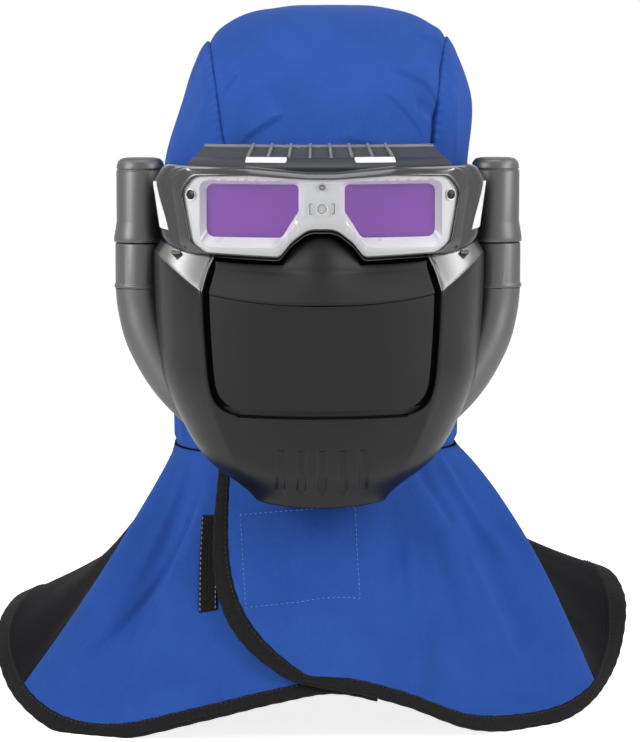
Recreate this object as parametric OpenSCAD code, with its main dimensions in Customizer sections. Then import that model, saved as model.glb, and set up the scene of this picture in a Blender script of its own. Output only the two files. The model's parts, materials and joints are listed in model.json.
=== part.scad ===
// Head unit of a powered air respirator: welding goggles over a half mask,
// two air ducts beside the face, and a cloth hood with a shoulder bib.
// Millimetres. +Z up, the face looks along -Y, +X is the wearer's left.

/* [Goggles] */
// Height of the goggles' middle above the hem
goggle_z = 357; // [350:1:364]
// Front of the goggles, in front of the head's middle
goggle_front = 150; // [145:1:155]
// Radius that the goggles wrap round the face
goggle_r = 175; // [165:1:190]
// Half width of the silver bezel
bezel_half_w = 92; // [88:1:94]
// Half height of the bezel at its tallest
bezel_half_h = 27; // [25:0.5:29]
// Wall of the bezel
bezel_wall = 6; // [5:0.5:7]
// Half width of the black frame
frame_half_w = 112; // [108:1:114]
// Rim of the frame beside the bezel
frame_rim = 10.5; // [9:0.5:11.5]
// Rim of the frame below the bezel
frame_low = 3.5; // [2.5:0.5:4]
// Depth of the frame, front to back
frame_depth = 17; // [14:0.5:18]
// Width of one viewing window
window_w = 60; // [54:1:62]
// Height of the viewing windows
window_h = 34; // [31:1:35]
// Gap between the two windows
window_gap = 31; // [30:1:36]
// Border of glass hidden round a window
glass_border = 2.5; // [1.5:0.1:2.8]
// Thickness of the filter glass
glass_t = 1.5; // [1:0.1:2]
// Thickness of a liquid crystal cell
cell_t = 2; // [1.5:0.1:2.5]
// Radius of an arc sensor
sensor_r = 3.3; // [2.5:0.1:4]
// Radius of the lamp between the windows
lamp_r = 3.2; // [2.5:0.1:4]
// Radius of the bezel screw's head
screw_r = 1.9; // [1.5:0.1:2.2]
// Radius of the two buttons inside
button_r = 4; // [3:0.1:5]
// Travel of a button
button_travel = 0.8; // [0.5:0.1:1.2]
// Radius of the coin cell
battery_r = 10; // [8:0.5:11]
// Thickness of the coin cell
battery_t = 2.5; // [2:0.1:3]

/* [Brow and straps] */
// Height that the brow vent climbs from front to back
brow_rise = 15; // [14:0.5:16]
// Depth of the brow vent
brow_depth = 24; // [21:0.1:24.5]
// Half angle that the brow vent spans
brow_half_angle = 35; // [32:1:37]
// Number of ribs on the brow vent
brow_ribs = 8; // [6:2:10]
// Width of the head strap
strap_w = 22; // [18:1:25]
// Thickness of the head strap
strap_t = 2; // [1.5:0.1:2.5]
// Radius of a strap clip's pivot
pivot_r = 3; // [2.5:0.1:3.5]

/* [Mask] */
// Half width of the mask at its upper corners
mask_half_w = 112; // [109:1:113]
// Front of the mask, in front of the head's middle
mask_front = 166; // [160:1:172]
// Height of the mask's upper edge in the middle
mask_top_z = 320; // [317:1:320]
// Height of the mask from upper edge to chin
mask_h = 157; // [153:1:161]
// Wall of the mask shell
mask_wall = 3; // [2.5:0.1:3.5]
// Depth of the recess that holds the front panel
panel_recess = 5; // [4:0.1:6]
// Thickness of the front panel
panel_t = 3.2; // [3:0.1:4]
// Step from the nose band down to the front panel
band_step = 1.6; // [1:0.1:2]
// Height of the nose arch above the mask's upper edge
nose_h = 22; // [17:0.5:22]
// Width of a chin groove
groove_w = 6; // [4:0.5:7]
// Length of a chin groove
groove_h = 31; // [26:1:33]
// Spacing of the chin grooves
groove_pitch = 13.7; // [12:0.1:15]
// Number of chin grooves
groove_count = 5; // [3:2:5]
// Radius of the exhalation valve
valve_r = 14; // [11:0.5:15]

/* [Air ducts] */
// Half distance between the two duct axes
duct_x = 121; // [120:0.5:124]
// Duct axis in front of the head's middle
duct_front = 70; // [67:1:72]
// Outer radius of the upper duct
duct_r = 16.5; // [15:0.1:17]
// Wall of the ducts
duct_wall = 2; // [1.6:0.1:2.5]
// Top of the upper duct above the hem
duct_top_z = 390; // [380:1:400]
// Height where the upper duct meets its sleeve
collar_z = 333; // [330:1:336]
// Length of the sleeve
sleeve_h = 31; // [28:1:33]
// Bore of the hose socket at the back of the duct
hose_bore_r = 11; // [9:0.1:11.4]
// Length of the hose socket
hose_len = 22; // [18:1:28]

/* [Hood] */
// Half width of the hood
hood_half_w = 107; // [103:1:109]
// Half depth of the hood
hood_half_d = 112; // [106:1:113]
// Height of the crown above the ears
crown_h = 164; // [155:1:172]
// Height of the ears above the hem
ear_z = 330; // [328:1:334]
// Thickness of the hood's cloth
cloth_t = 2.4; // [1.8:0.1:3]
// Height of the seam between neck and bib
neck_z = 186; // [180:1:190]
// Half width of the neck seam
neck_half_w = 100; // [96:1:102]
// Half depth of the neck seam
neck_half_d = 79; // [76:1:82]
// Width of the binding tape on the bib's edge
tape_w = 11; // [8:0.5:13]
// Thickness of the binding tape
tape_t = 4; // [3.4:0.1:5]

/* [Hidden] */
$fn = 64;
// Gap between pieces that rest on each other
seat = 0.3;
// Radial gap of a turning or sliding fit
running = 0.06;
// Room left round pieces that pass each other
free = 1;

// Vertical axis that the goggles wrap round
goggle_axis_y = goggle_r - goggle_front;
bezel_r = goggle_r;
bezel_in_r = bezel_r - bezel_wall;
frame_in_r = goggle_r - frame_depth;
cover_t = 1.2;
// Angle of a window's middle, seen from the goggle axis
window_x = (window_gap + window_w) / 2;
window_angle = asin(window_x / bezel_in_r);
window_top = 17.5;
glass_w = window_w + 2 * glass_border;
glass_h = window_h + 2 * glass_border;
// The flat glass lies behind the curved bezel, touching it at its ends
glass_r = sqrt(pow(bezel_in_r - seat, 2) - pow(glass_w / 2, 2));
cell_r = glass_r - glass_t - seat;
back_r = cell_r - cell_t - seat;
back_wall = 6;
seal_wall = 5;
back_in_r = back_r - back_wall;
board_t = 1.6;
board_r = bezel_in_r - 2;
sensor_x = bezel_half_w - 6;
sensor_up = 10.5;
screw_up = 16;
lamp_up = 2;
button_x = 8;
button_up = 8;
button_proud = button_travel + 0.4;
// Middle of the hood, front to back, and the power of its rounded-box sections
hood_y = 5;
hood_power = 2.5;

// Helpers

function mix(a, b, t) = a + (b - a) * t;
function ease(t) = t * t * (3 - 2 * t);
function clamp01(t) = min(1, max(0, t));
function bump(t, at, width) = exp(-pow((t - at) / width, 2));
function unit(v) = v / norm(v);
// Power that keeps the sign, for superellipses
function spow(v, p) = sign(v) * pow(abs(v), p);

// Smooth curve through rows of numbers, t from 0 to 1
function through(rows, t) =
    let (n = len(rows) - 1, f = clamp01(t) * n, i = min(n - 1, floor(f)), s = f - i,
        a = rows[max(0, i - 1)], b = rows[i], c = rows[i + 1], d = rows[min(n, i + 2)])
    0.5 * (2 * b + (c - a) * s + (2 * a - 5 * b + 4 * c - d) * s * s + (3 * b - a - 3 * c + d) * pow(s, 3));

// The same round a closed ring of rows, t in whole turns
function round_ring(rows, t) =
    let (n = len(rows), f = (t - floor(t)) * n, i = floor(f), s = f - i,
        a = rows[(i + n - 1) % n], b = rows[i % n], c = rows[(i + 1) % n], d = rows[(i + 2) % n])
    0.5 * (2 * b + (c - a) * s + (2 * a - 5 * b + 4 * c - d) * s * s + (3 * b - a - 3 * c + d) * pow(s, 3));

// Arc that rounds the corner b between a and c
function corner(a, b, c, r, n = 4) =
    let (u = unit(a - b), w = unit(c - b), half = acos(u * w) / 2,
        o = b + unit(u + w) * r / sin(half), d = r / tan(half),
        p = b + u * d - o, q = b + w * d - o,
        start = atan2(p[1], p[0]), raw = atan2(q[1], q[0]) - start,
        turn = raw > 180 ? raw - 360 : raw < -180 ? raw + 360 : raw)
    [for (i = [0:n]) o + r * [cos(start + turn * i / n), sin(start + turn * i / n)]];
function rounded(p, r) =
    let (k = len(p))
    [for (i = [0:k - 1]) each corner(p[(i + k - 1) % k], p[i], p[(i + 1) % k], r[i])];

// Closed solid between two grids of points; a pole row is drawn to one point
module sheet(outer, inner, pole = false) {
    rows = len(outer);
    cols = len(outer[0]);
    size = rows * cols;
    function id(i, j, k) = k * size + i * cols + (pole && i == rows - 1 ? 0 : j);
    function quad(a, b, c, d) = [[a, b, c], [a, c, d]];
    faces = concat(
        [for (i = [0:rows - 2], j = [0:cols - 2])
            each quad(id(i, j, 0), id(i, j + 1, 0), id(i + 1, j + 1, 0), id(i + 1, j, 0))],
        [for (i = [0:rows - 2], j = [0:cols - 2])
            each quad(id(i, j, 1), id(i + 1, j, 1), id(i + 1, j + 1, 1), id(i, j + 1, 1))],
        [for (j = [0:cols - 2])
            each quad(id(0, j, 0), id(0, j, 1), id(0, j + 1, 1), id(0, j + 1, 0))],
        [for (j = [0:cols - 2], i = [rows - 1]) if (!pole)
            each quad(id(i, j, 0), id(i, j + 1, 0), id(i, j + 1, 1), id(i, j, 1))],
        [for (i = [0:rows - 2])
            each quad(id(i, 0, 0), id(i + 1, 0, 0), id(i + 1, 0, 1), id(i, 0, 1))],
        [for (i = [0:rows - 2], j = [cols - 1])
            each quad(id(i, j, 0), id(i, j, 1), id(i + 1, j, 1), id(i + 1, j, 0))]);
    polyhedron([for (g = [outer, inner]) each [for (row = g) each row]],
        [for (f = faces) if (f[0] != f[1] && f[1] != f[2] && f[2] != f[0]) f], convexity = 6);
}

// Goggles

// Half outline of the bezel in x and height: a top that dips in the middle, full lower corners and a round
// arch over the nose. It is grown by g, less above and below than beside, and widened at the sides by s
function half_outline(g, s = 0) =
    let (h = bezel_half_h, w = bezel_half_w + g + s, out = function(share) g > 0 ? share * g : g,
        low = h + 2.5 + out(frame_low / frame_rim))
    [[9, h - 6 + out(0.48)], [48, h - 3.5 + out(0.57)], [w - 8, h - 4.5 + out(0.7)],
        [w, h - 14.5 + out(0.7)], [w - 6, 9 - low + s / 3], [w - 15 - s, 2.2 - low + s / 7],
        [28, -low], [20, 10 - low], [9, 18.3 - low]];
outline_radii = [60, 60, 9, 9, 9, 9, 5, 20, 14];
function outline(g, s = 0) =
    let (half = half_outline(g, s), last = len(half) - 1)
    rounded(concat(half, [for (i = [last:-1:0]) [-half[i][0], half[i][1]]]),
        concat(outline_radii, [for (i = [last:-1:0]) outline_radii[i]]));
function window_points(m) =
    let (x0 = window_gap / 2 - m, x1 = window_gap / 2 + window_w + m, z1 = window_top + m,
        z0 = z1 - window_h - 2 * m)
    rounded([[x0, z1], [x1, z1], [x1, z0], [x0 + 10, z0], [x0, z0 + window_h / 2 + m]], [3, 5, 5, 3, 3]);

// Upright outline pushed forward from the goggle axis
module forward() {
    translate([0, goggle_axis_y, goggle_z]) rotate([90, 0, 0]) linear_extrude(goggle_r + 30) children();
}
// The forward push kept between two radii of the goggle axis, over more than the goggles' height
wrap_h = 3 * (bezel_half_h + frame_rim);
module wrapped(r_out, r_in) {
    intersection() {
        forward() children();
        translate([0, goggle_axis_y, goggle_z - wrap_h / 2]) difference() {
            cylinder(r = r_out, h = wrap_h, $fn = 120);
            translate([0, 0, -free]) cylinder(r = r_in, h = wrap_h + 2 * free, $fn = 120);
        }
    }
}
// Child moved out to radius r at angle a round the goggle axis, facing out along -Y
module on_axis(a, r, up) {
    translate([0, goggle_axis_y, goggle_z + up]) rotate([0, 0, a]) translate([0, -r, 0]) children();
}
// Round rod that points forward from its own origin
module rod(r, h) {
    rotate([90, 0, 0]) cylinder(r = r, h = h);
}
module windows(m) {
    polygon(window_points(m));
    mirror([1, 0]) polygon(window_points(m));
}
sensor_angle = asin(sensor_x / bezel_r);
// Length of a drill that goes through the bezel and its cover
drill = 40;

// The frame is wider at its sides than its rim, and a raised lip runs round the bezel
frame_widen = frame_half_w - bezel_half_w - frame_rim;
lip = 3;
module goggle_frame() {
    color([0.07, 0.07, 0.08]) {
        difference() {
            union() {
                wrapped(goggle_r, frame_in_r) polygon(outline(frame_rim, frame_widen));
                wrapped(goggle_r + lip, goggle_r - free) polygon(outline(frame_rim - lip));
            }
            wrapped(goggle_r + lip + free, frame_in_r - free) polygon(outline(seat));
        }
        for (side = [-1, 1]) clip_lug(side);
    }
}
module filter_bezel() {
    color([0.78, 0.79, 0.82]) difference() {
        wrapped(bezel_r, bezel_in_r) difference() {
            polygon(outline(0));
            windows(0);
        }
        for (side = [-1, 1])
            on_axis(side * sensor_angle, bezel_r - drill / 2, sensor_up) rod(sensor_r + running, drill);
        on_axis(0, bezel_r - drill / 2, lamp_up) rod(lamp_r + running, drill);
        on_axis(0, bezel_r - drill / 2, screw_up) rod(screw_r / 2 + running, drill);
    }
}
module cover_lens() {
    color([0.8, 0.85, 0.9, 0.35]) difference() {
        wrapped(bezel_r + seat + cover_t, bezel_r + seat) polygon(outline(-2.5));
        on_axis(0, bezel_r - drill / 2, screw_up) rod(screw_r + seat, drill);
        on_axis(0, bezel_r - drill / 2, lamp_up) rod(lamp_r + seat, drill);
        for (side = [-1, 1])
            on_axis(side * sensor_angle, bezel_r - drill / 2, sensor_up) rod(sensor_r + seat, drill);
    }
}
// Flat pane with one lower inner corner cut off, turned to lie along the bezel
module pane(side, r, t) {
    cut = 9;
    w = glass_w / 2;
    z1 = window_top + glass_border;
    z0 = z1 - glass_h;
    mirror([side < 0 ? 1 : 0, 0, 0]) on_axis(window_angle, r - t, 0) rotate([90, 0, 0]) linear_extrude(t)
        polygon([[-w, z1], [w, z1], [w, z0], [cut - w, z0], [-w, (z0 + z1) / 2]]);
}
module filter_glass(side) { color([0.52, 0.33, 0.66]) pane(side, glass_r, glass_t); }
module lcd_cell(side) { color([0.25, 0.25, 0.3]) pane(side, cell_r, cell_t); }
module circuit_board() {
    half = window_gap / 2 - glass_border - 1;
    color([0.1, 0.35, 0.2]) difference() {
        on_axis(0, board_r - board_t, 0) rotate([90, 0, 0]) linear_extrude(board_t)
            polygon([[-half, 19], [half, 19], [half, -3], [0.6 * half, -7], [-0.6 * half, -7], [-half, -3]]);
        on_axis(0, board_r - drill / 2, screw_up) rod(screw_r / 2 + running, drill);
    }
}
module coin_cell() {
    color([0.75, 0.75, 0.75]) on_axis(0, board_r - board_t - seat - battery_t, 4) rod(battery_r, battery_t);
}
module cassette_back() {
    color([0.12, 0.12, 0.13]) difference() {
        wrapped(back_r, back_in_r) difference() {
            polygon(outline(-seal_wall - free));
            windows(-1);
        }
        for (side = [-1, 1]) translate([side * button_x, goggle_axis_y, goggle_z + button_up])
            rod(button_r + running, back_r + 5);
    }
}
module push_button(side) {
    reach = back_in_r - button_proud;
    color([0.75, 0.1, 0.1]) translate([side * button_x, goggle_axis_y - reach, goggle_z + button_up])
        rod(button_r, back_wall + button_proud - seat);
}
module arc_sensor(side) {
    color([0.03, 0.03, 0.03]) on_axis(side * sensor_angle, bezel_in_r - 1, sensor_up)
        rod(sensor_r, bezel_wall + 2);
}
module centre_lamp() {
    color([0.9, 0.9, 0.85]) on_axis(0, board_r + seat, lamp_up) {
        rod(lamp_r, bezel_r - board_r + 0.7);
    }
}
module bezel_screw() {
    color([0.15, 0.15, 0.16]) on_axis(0, board_r - board_t - 1, screw_up) {
        rod(screw_r / 2, bezel_r - board_r + board_t + 1);
        translate([0, -(bezel_r - board_r + board_t + 1), 0]) rod(screw_r, 1.6);
    }
}

// Seal, brow vent and straps

seal_depth = 22;
module face_seal() {
    color([0.09, 0.09, 0.1]) wrapped(frame_in_r - seat, frame_in_r - seal_depth) difference() {
        polygon(outline(seat));
        polygon(outline(seat - seal_wall));
    }
}
// Brow vent: a cone that climbs from the frame's back edge to a beaded rim
brow_z = goggle_z + bezel_half_h - 2.5;
brow_r = frame_in_r - seat;
brow_t = 2.5;
brow_slope = brow_rise / brow_depth;
rib_pitch = 5.5;
// Height of the vent's upper face at a radius
function brow_top(r) = brow_z + brow_t + (brow_r - r) * brow_slope;
// Profile in radius and height, turned round the goggle axis between two angles
module brow_sweep(from, to) {
    translate([0, goggle_axis_y, 0]) rotate([0, 0, from - 90])
        rotate_extrude(angle = to - from, $fn = 180) children();
}
bead_r = 2;
rib_h = 1.8;
rib_half_angle = 0.35;
pad_depth = 9;
pad_h = 2.6;
pad_from = 8.6;
pad_to = 19.2;
function pad_spans(a) = abs(a) > pad_from - 1 && abs(a) < pad_to + 1;
module brow_vent() {
    far = brow_r - brow_depth;
    color([0.1, 0.11, 0.16]) {
        brow_sweep(-brow_half_angle, brow_half_angle) {
            polygon([[brow_r, brow_z], [brow_r, brow_top(brow_r)], [far, brow_top(far)],
                [far, brow_top(far) - brow_t]]);
            translate([far, brow_top(far) - brow_t / 2]) circle(r = bead_r, $fn = 24);
        }
        for (i = [0:brow_ribs - 1]) {
            a = (i - (brow_ribs - 1) / 2) * rib_pitch;
            start = pad_spans(a) ? brow_r - pad_depth - 2 : brow_r - 2;
            brow_sweep(a - rib_half_angle, a + rib_half_angle)
                polygon([[start, brow_top(start) - 1], [start, brow_top(start) + rib_h],
                    [far, brow_top(far) + rib_h], [far, brow_top(far) - 1]]);
        }
    }
}
module vent_pad(side) {
    near = brow_r - 1;
    far = brow_r - pad_depth;
    a = side > 0 ? pad_from : -pad_to;
    color([0.88, 0.88, 0.86]) brow_sweep(a, a + pad_to - pad_from)
        polygon([[near, brow_top(near) + 0.1], [near, brow_top(near) + 0.6 * pad_h],
            [near - 2, brow_top(near) + pad_h], [far + 2, brow_top(far) + pad_h],
            [far, brow_top(far) + 0.5 * pad_h], [far, brow_top(far) + 0.1]]);
}
// Strap clips turn on pins that stand on lugs behind the frame
strap_z = goggle_z + 8;
lug_x = 101.3;
lug_t = 2.5;
lug_half_h = 8;
clip_t = 4;
pin_y = -84;
clip_reach = 23.6;
pin_len = clip_t + 1;
clip_half_h = strap_w / 2 + 3;
module clip_lug(side) {
    root_y = -110;
    translate([side > 0 ? lug_x : -lug_x - lug_t, root_y, strap_z - lug_half_h])
        cube([lug_t, pin_y + lug_half_h - root_y, 2 * lug_half_h]);
    translate([side * (lug_x - pin_len), pin_y, strap_z]) rotate([0, side * 90, 0])
        cylinder(r = pivot_r, h = pin_len + 1);
}
module strap_clip(side) {
    slot_w = strap_w + 1;
    color([0.08, 0.08, 0.09]) translate([side * (lug_x - seat) - (side > 0 ? clip_t : 0), pin_y, strap_z])
        rotate([90, 0, 90]) difference() {
            linear_extrude(clip_t) difference() {
                intersection() {
                    polygon(rounded([[-9, -8], [6, -clip_half_h], [30, -clip_half_h], [30, clip_half_h],
                        [6, clip_half_h], [-9, 8]], [5, 3, 2, 2, 3, 5]));
                    circle(r = clip_reach);
                }
                translate([12, -slot_w / 2]) square([3.5, slot_w]);
            }
            translate([0, 0, -1]) cylinder(r = pivot_r + running, h = clip_t + 2);
        }
}
// Strap: follows the hood just outside its cloth
strap_gap = seat;
buckle_half_w = 16;
strap_front = -30.3;
strap_lean = 0.6;
// Depth of the hood at the strap's lower edge
strap_half_d = hood_half_d * sqrt(1 - pow((strap_z - strap_w / 2 - ear_z) / crown_h, 2));
function strap_point(a, off) =
    let (p = [cos(a), sin(a)], w = hood_half_w + strap_lean + off, d = strap_half_d + off)
    [w * spow(p[0], 2 / hood_power), hood_y + d * spow(p[1], 2 / hood_power)];
strap_end = acos(pow(buckle_half_w / (hood_half_w + strap_lean), hood_power / 2));
module head_strap(side) {
    steps = 26;
    turns = [for (i = [0:steps]) mix(strap_front, strap_end - 0.3, i / steps)];
    color([0.08, 0.08, 0.09]) mirror([side < 0 ? 1 : 0, 0, 0]) translate([0, 0, strap_z - strap_w / 2])
        linear_extrude(strap_w) polygon(concat([for (a = turns) strap_point(a, strap_gap)],
            [for (i = [steps:-1:0]) strap_point(turns[i], strap_gap + strap_t)]));
}
module strap_buckle() {
    back = strap_point(90, strap_gap)[1];
    wall = 3;
    open_w = buckle_half_w - wall - 2;
    w = 2 * buckle_half_w - 1;
    color([0.06, 0.06, 0.07]) translate([-w / 2, back + seat, strap_z - strap_w / 2 - wall]) difference() {
        cube([w, strap_t + 1.5, strap_w + 2 * wall]);
        for (x = [wall, w - wall - open_w]) translate([x, -1, wall]) cube([open_w, strap_t + 4, strap_w]);
    }
}

// Mask

// Half width, front and rear edge of the mask, from its upper edge to the chin
mask_rows = [
    [mask_half_w, mask_front - 1, 88.5],
    [mask_half_w - 0.5, mask_front, 88.2],
    [mask_half_w - 2.5, mask_front, 91],
    [mask_half_w - 6.5, mask_front, 98],
    [mask_half_w - 18, mask_front - 1, 104],
    [mask_half_w - 35.5, mask_front - 8, 110],
    [mask_half_w - 68, mask_front - 24, 120]];
mask_power = 2.4;
corner_rise = 10;
chin_drop = 4;
// Share of the half width where the bowed front turns into the cheeks, and how both curve
crease_f = 0.72;
front_bow = 0.43;
cheek_power = 0.5;
// Section of the mask at a height: 1 at the front's middle, 0 at the rear edge
function mask_section(f, t) =
    let (g = abs(f), even = pow(max(0, 1 - pow(g, mask_power)), 1 / mask_power),
        cheek = (1 - front_bow * crease_f * crease_f) * pow(max(0, (1 - g) / (1 - crease_f)), cheek_power),
        creased = g < crease_f ? 1 - front_bow * g * g : cheek)
    mix(creased, even, ease(clamp01((t - 0.6) / 0.35)));
function mask_point(f, t) =
    let (row = through(mask_rows, t))
    [row[0] * f,
        -row[2] - (row[1] - row[2]) * mask_section(f, t),
        mask_top_z - mask_h * t + corner_rise * pow(f, 4) * pow(1 - t, 2) - chin_drop * (1 - f * f) * t * t];
function mask_normal(f, t) =
    let (e = 0.01, g = max(-0.95, min(0.95, f)), s = max(e, min(1 - e, t)))
    unit(cross(mask_point(g + e, s) - mask_point(g - e, s), mask_point(g, s - e) - mask_point(g, s + e)));
// The upper edge slopes back under the goggles, less so at the nose: a band in the middle, a facet
// on each cheek
slope_back = 0.8;
nose_f = 0.2;
band_mid = 0.15;
band_end = 0.115;
facet_end = 0.015;
facet_f = 0.97;
function slope_line(f) =
    let (g = abs(f))
    g < recess_f ? mix(band_mid, band_end, pow(g / recess_f, 2))
        : mix(band_end, facet_end, min(1, (g - recess_f) / (facet_f - recess_f)));
function slope_in(f, t) =
    slope_back * mask_h * max(0, slope_line(f) - t) * (1 - 0.5 * bump(f, 0, nose_f));
function mask_at(f, t, off) = mask_point(f, t) + mask_normal(f, t) * (off - slope_in(f, t));
// Edges of the recess that holds the band and the panel, open at the top, with round lower corners
recess_f = 0.70;
edge_f = 0.64;
recess_bottom = 0.61;
step_f = 0.012;
step_t = 0.012;
turn_f = 0.13;
turn_t = 0.085;
straight_t = 0.11;
// Columns bend inwards round the recess's lower corners and come straight again below it
function turned(f, t) =
    let (into = clamp01((t - recess_bottom + turn_t) / turn_t),
        past = clamp01((t - recess_bottom - step_t) / straight_t),
        bend = turn_f * (1 - sqrt(1 - into * into)) * (1 - ease(past)), g = abs(f))
    g > recess_f + step_f ? f - sign(f) * bend * (1 - g) / (1 - recess_f) : f * (1 - bend / recess_f);
function in_recess(f, t) = abs(f) < recess_f + step_f / 2 && t < recess_bottom + step_t / 2;
nose_fs = [0.05, 0.1, 0.16, 0.21, 0.24];
half_fs = concat(nose_fs, [0.36, 0.52, edge_f, recess_f, recess_f + step_f, 0.75, 0.8, 0.86, 0.92,
    facet_f, 1]);
// A row of shares of the half width with its mirror image and the middle
function both_sides(half) = concat([for (i = [len(half) - 1:-1:0]) -half[i]], [0], half);
mask_fs = both_sides(half_fs);
mask_ts = [1, 0.97, 0.92, 0.86, 0.8, 0.73, 0.67, recess_bottom + step_t, recess_bottom,
    for (k = [0.03, 0.14, 0.4, 1]) recess_bottom - turn_t * k, 0.42, 0.32, 0.22, band_mid, band_end,
    0.075, 0.035, 0];
function mask_grid(off, recess) =
    [for (f = mask_fs) [for (t = mask_ts) mask_at(turned(f, t), t, off - (in_recess(f, t) ? recess : 0))]];
// Block from the mask's outer face, moved out by off, back to its rear edge
module mask_block(off) {
    sheet(mask_grid(off, 0), [for (f = mask_fs) [for (t = mask_ts)
        let (p = mask_at(f, t, off)) [p[0], -through(mask_rows, t)[2] + off + free, p[2]]]]);
}
groove_depth = 1.6;
groove_top = 0.745;
groove_end = groove_top + groove_h / mask_h;
// Cutter for one chin groove: follows the curved chin, round at its lower end
module chin_groove(x) {
    round_from = groove_end - groove_w / 2 / mask_h;
    ts = [groove_end - 0.001, groove_end - 0.005, groove_end - 0.011, round_from,
        for (k = [0.25, 0.5, 0.75, 1]) mix(round_from, groove_top, k)];
    half_w = function(t) groove_w / 2 * sqrt(1 - pow(max(0, t - round_from) / (groove_end - round_from), 2));
    grid = function(off) [for (k = [-1, 0, 1]) [for (t = ts)
        mask_at((x + k * half_w(t)) / through(mask_rows, t)[0], t, off)]];
    sheet(grid(free), grid(-groove_depth));
}
module mask_shell() {
    color([0.12, 0.12, 0.13]) difference() {
        sheet(mask_grid(0, panel_recess), mask_grid(-mask_wall, panel_recess));
        for (i = [0:groove_count - 1]) chin_groove((i - (groove_count - 1) / 2) * groove_pitch);
    }
}
// Panel and band lie on the floor of the recess, with a groove left round them
floor_off = seat - panel_recess;
edge_t = 0.055;
panel_fs = both_sides([0.1, 0.22, 0.36, 0.52, edge_f]);
module front_panel() {
    low = recess_bottom - edge_t;
    ks = [0, 0.03, 0.12, 0.35, 1, 2, 3, 4];
    at = function(f, k) k < 1 ? low - turn_t * k : mix(low - turn_t, slope_line(f) + seam_t, (k - 1) / 3);
    grid = function(off) [for (f = panel_fs) [for (k = ks)
        let (t = at(f, k)) mask_at(turned(f, t + edge_t), t, off)]];
    color([0.1, 0.1, 0.11]) sheet(grid(floor_off + panel_t), grid(floor_off));
}
// Soft band over the upper edge, with an arch that rises over the nose
seam_t = 0.004;
nose_half_w = 26;
nose_power = 0.6;
nose_lean = 0.45;
band_fs = both_sides(concat(nose_fs, [0.36, 0.52, edge_f]));
module nose_band() {
    thick = panel_t + band_step;
    arch = function(x) nose_h * pow(max(0, 1 - pow(x / nose_half_w, 2)), nose_power);
    place = function(f, k, off)
        let (t = mix(slope_line(f) - seam_t, 0.012, min(1, k)), p = mask_at(f, t, off), rise = max(0, k - 1))
        p + arch(p[0]) * [0, nose_lean * rise * rise, rise];
    grid = function(off) [for (f = band_fs) [for (k = [0, 0.35, 0.7, 1, 1.35, 1.7, 2]) place(f, k, off)]];
    color([0.11, 0.11, 0.12]) sheet(grid(floor_off + thick), grid(floor_off));
}
// A block under the frame's lower corner, on the mask's upper edge
clip_f = 0.9;
clip_w = 6;
clip_l = 10;
function frame_under(x) =
    let (half = half_outline(frame_rim, frame_widen), a = half[4], b = half[5])
    goggle_z + mix(b[1], a[1], (x - b[0]) / (a[0] - b[0]));
module mask_clip(side) {
    p = mask_at(side * clip_f, 0, 0);
    z = p[2] + 1;
    color([0.3, 0.3, 0.32]) translate([p[0] - clip_w / 2, p[1] - 3, z])
        cube([clip_w, clip_l, frame_under(abs(p[0]) - clip_w / 2) - 2 * seat - z]);
}
valve_z = mask_top_z - 0.79 * mask_h;
valve_back = 138;
module valve_seat() {
    color([0.2, 0.2, 0.22]) intersection() {
        translate([0, -valve_back, valve_z]) rotate([90, 0, 0]) difference() {
            cylinder(r = valve_r, h = 40);
            translate([0, 0, 3]) cylinder(r = valve_r - 1.5, h = 40);
            translate([0, 0, -1]) cylinder(r = valve_r - 6, h = 40);
        }
        mask_block(-mask_wall - seat);
    }
}
module valve_flap() {
    color([0.75, 0.75, 0.72]) translate([0, -valve_back - 3 - seat, valve_z]) rod(valve_r - 2, 1.2);
}

// Air ducts

// Closed tube between outer and inner rings of points
module ring_tube(outer, inner) {
    rings = len(outer);
    n = len(outer[0]);
    size = rings * n;
    function id(i, j, k) = k * size + i * n + j % n;
    function quad(a, b, c, d) = [[a, b, c], [a, c, d]];
    polyhedron([for (g = [outer, inner]) each [for (ring = g) each ring]], concat(
        [for (i = [0:rings - 2], j = [0:n - 1])
            each quad(id(i, j, 0), id(i + 1, j, 0), id(i + 1, j + 1, 0), id(i, j + 1, 0))],
        [for (i = [0:rings - 2], j = [0:n - 1])
            each quad(id(i, j, 1), id(i, j + 1, 1), id(i + 1, j + 1, 1), id(i + 1, j, 1))],
        [for (j = [0:n - 1]) each quad(id(0, j, 0), id(0, j + 1, 0), id(0, j + 1, 1), id(0, j, 1))],
        [for (j = [0:n - 1], i = [rings - 1])
            each quad(id(i, j, 0), id(i, j, 1), id(i, j + 1, 1), id(i, j + 1, 0))]),
        convexity = 6);
}
sleeve_r = duct_r + 1;
spigot_r = duct_r - duct_wall - running;
spigot_h = 14;
sleeve_low = collar_z - seat - sleeve_h;
// Route of the lower duct from sleeve to cheek: x inwards, y forwards, z down, radius
duct_route = [[0, 0, seat, 0], [-1.5, -1, 14, 0], [-6, -4.5, 32, -0.2], [-15, -10, 51, -1],
    [-26, -16, 67, -2], [-40, -22, 82, -3.5]];
function duct_mid(t) =
    let (p = through(duct_route, t)) [duct_x + p[0], p[1] - duct_front, sleeve_low - p[2]];
function duct_ring(t, off) =
    let (e = 0.01, way = t < e ? [0, 0, -1] : unit(duct_mid(min(1, t + e)) - duct_mid(t - e)),
        across = unit(cross(way, [0, 1, 0])), over = cross(way, across),
        r = sleeve_r + through(duct_route, t)[3] + off)
    [for (i = [0:19]) duct_mid(t) + r * (cos(18 * i) * across + sin(18 * i) * over)];
module lower_duct(side) {
    steps = 10;
    color([0.13, 0.13, 0.14]) mirror([side < 0 ? 1 : 0, 0, 0]) difference() {
        ring_tube([for (i = [0:steps]) duct_ring(i / steps, 0)],
            [for (i = [0:steps]) duct_ring(i / steps, -duct_wall)]);
        mask_block(seat);
    }
}
module at_duct(side) {
    translate([side * duct_x, -duct_front, 0]) children();
}
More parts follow.
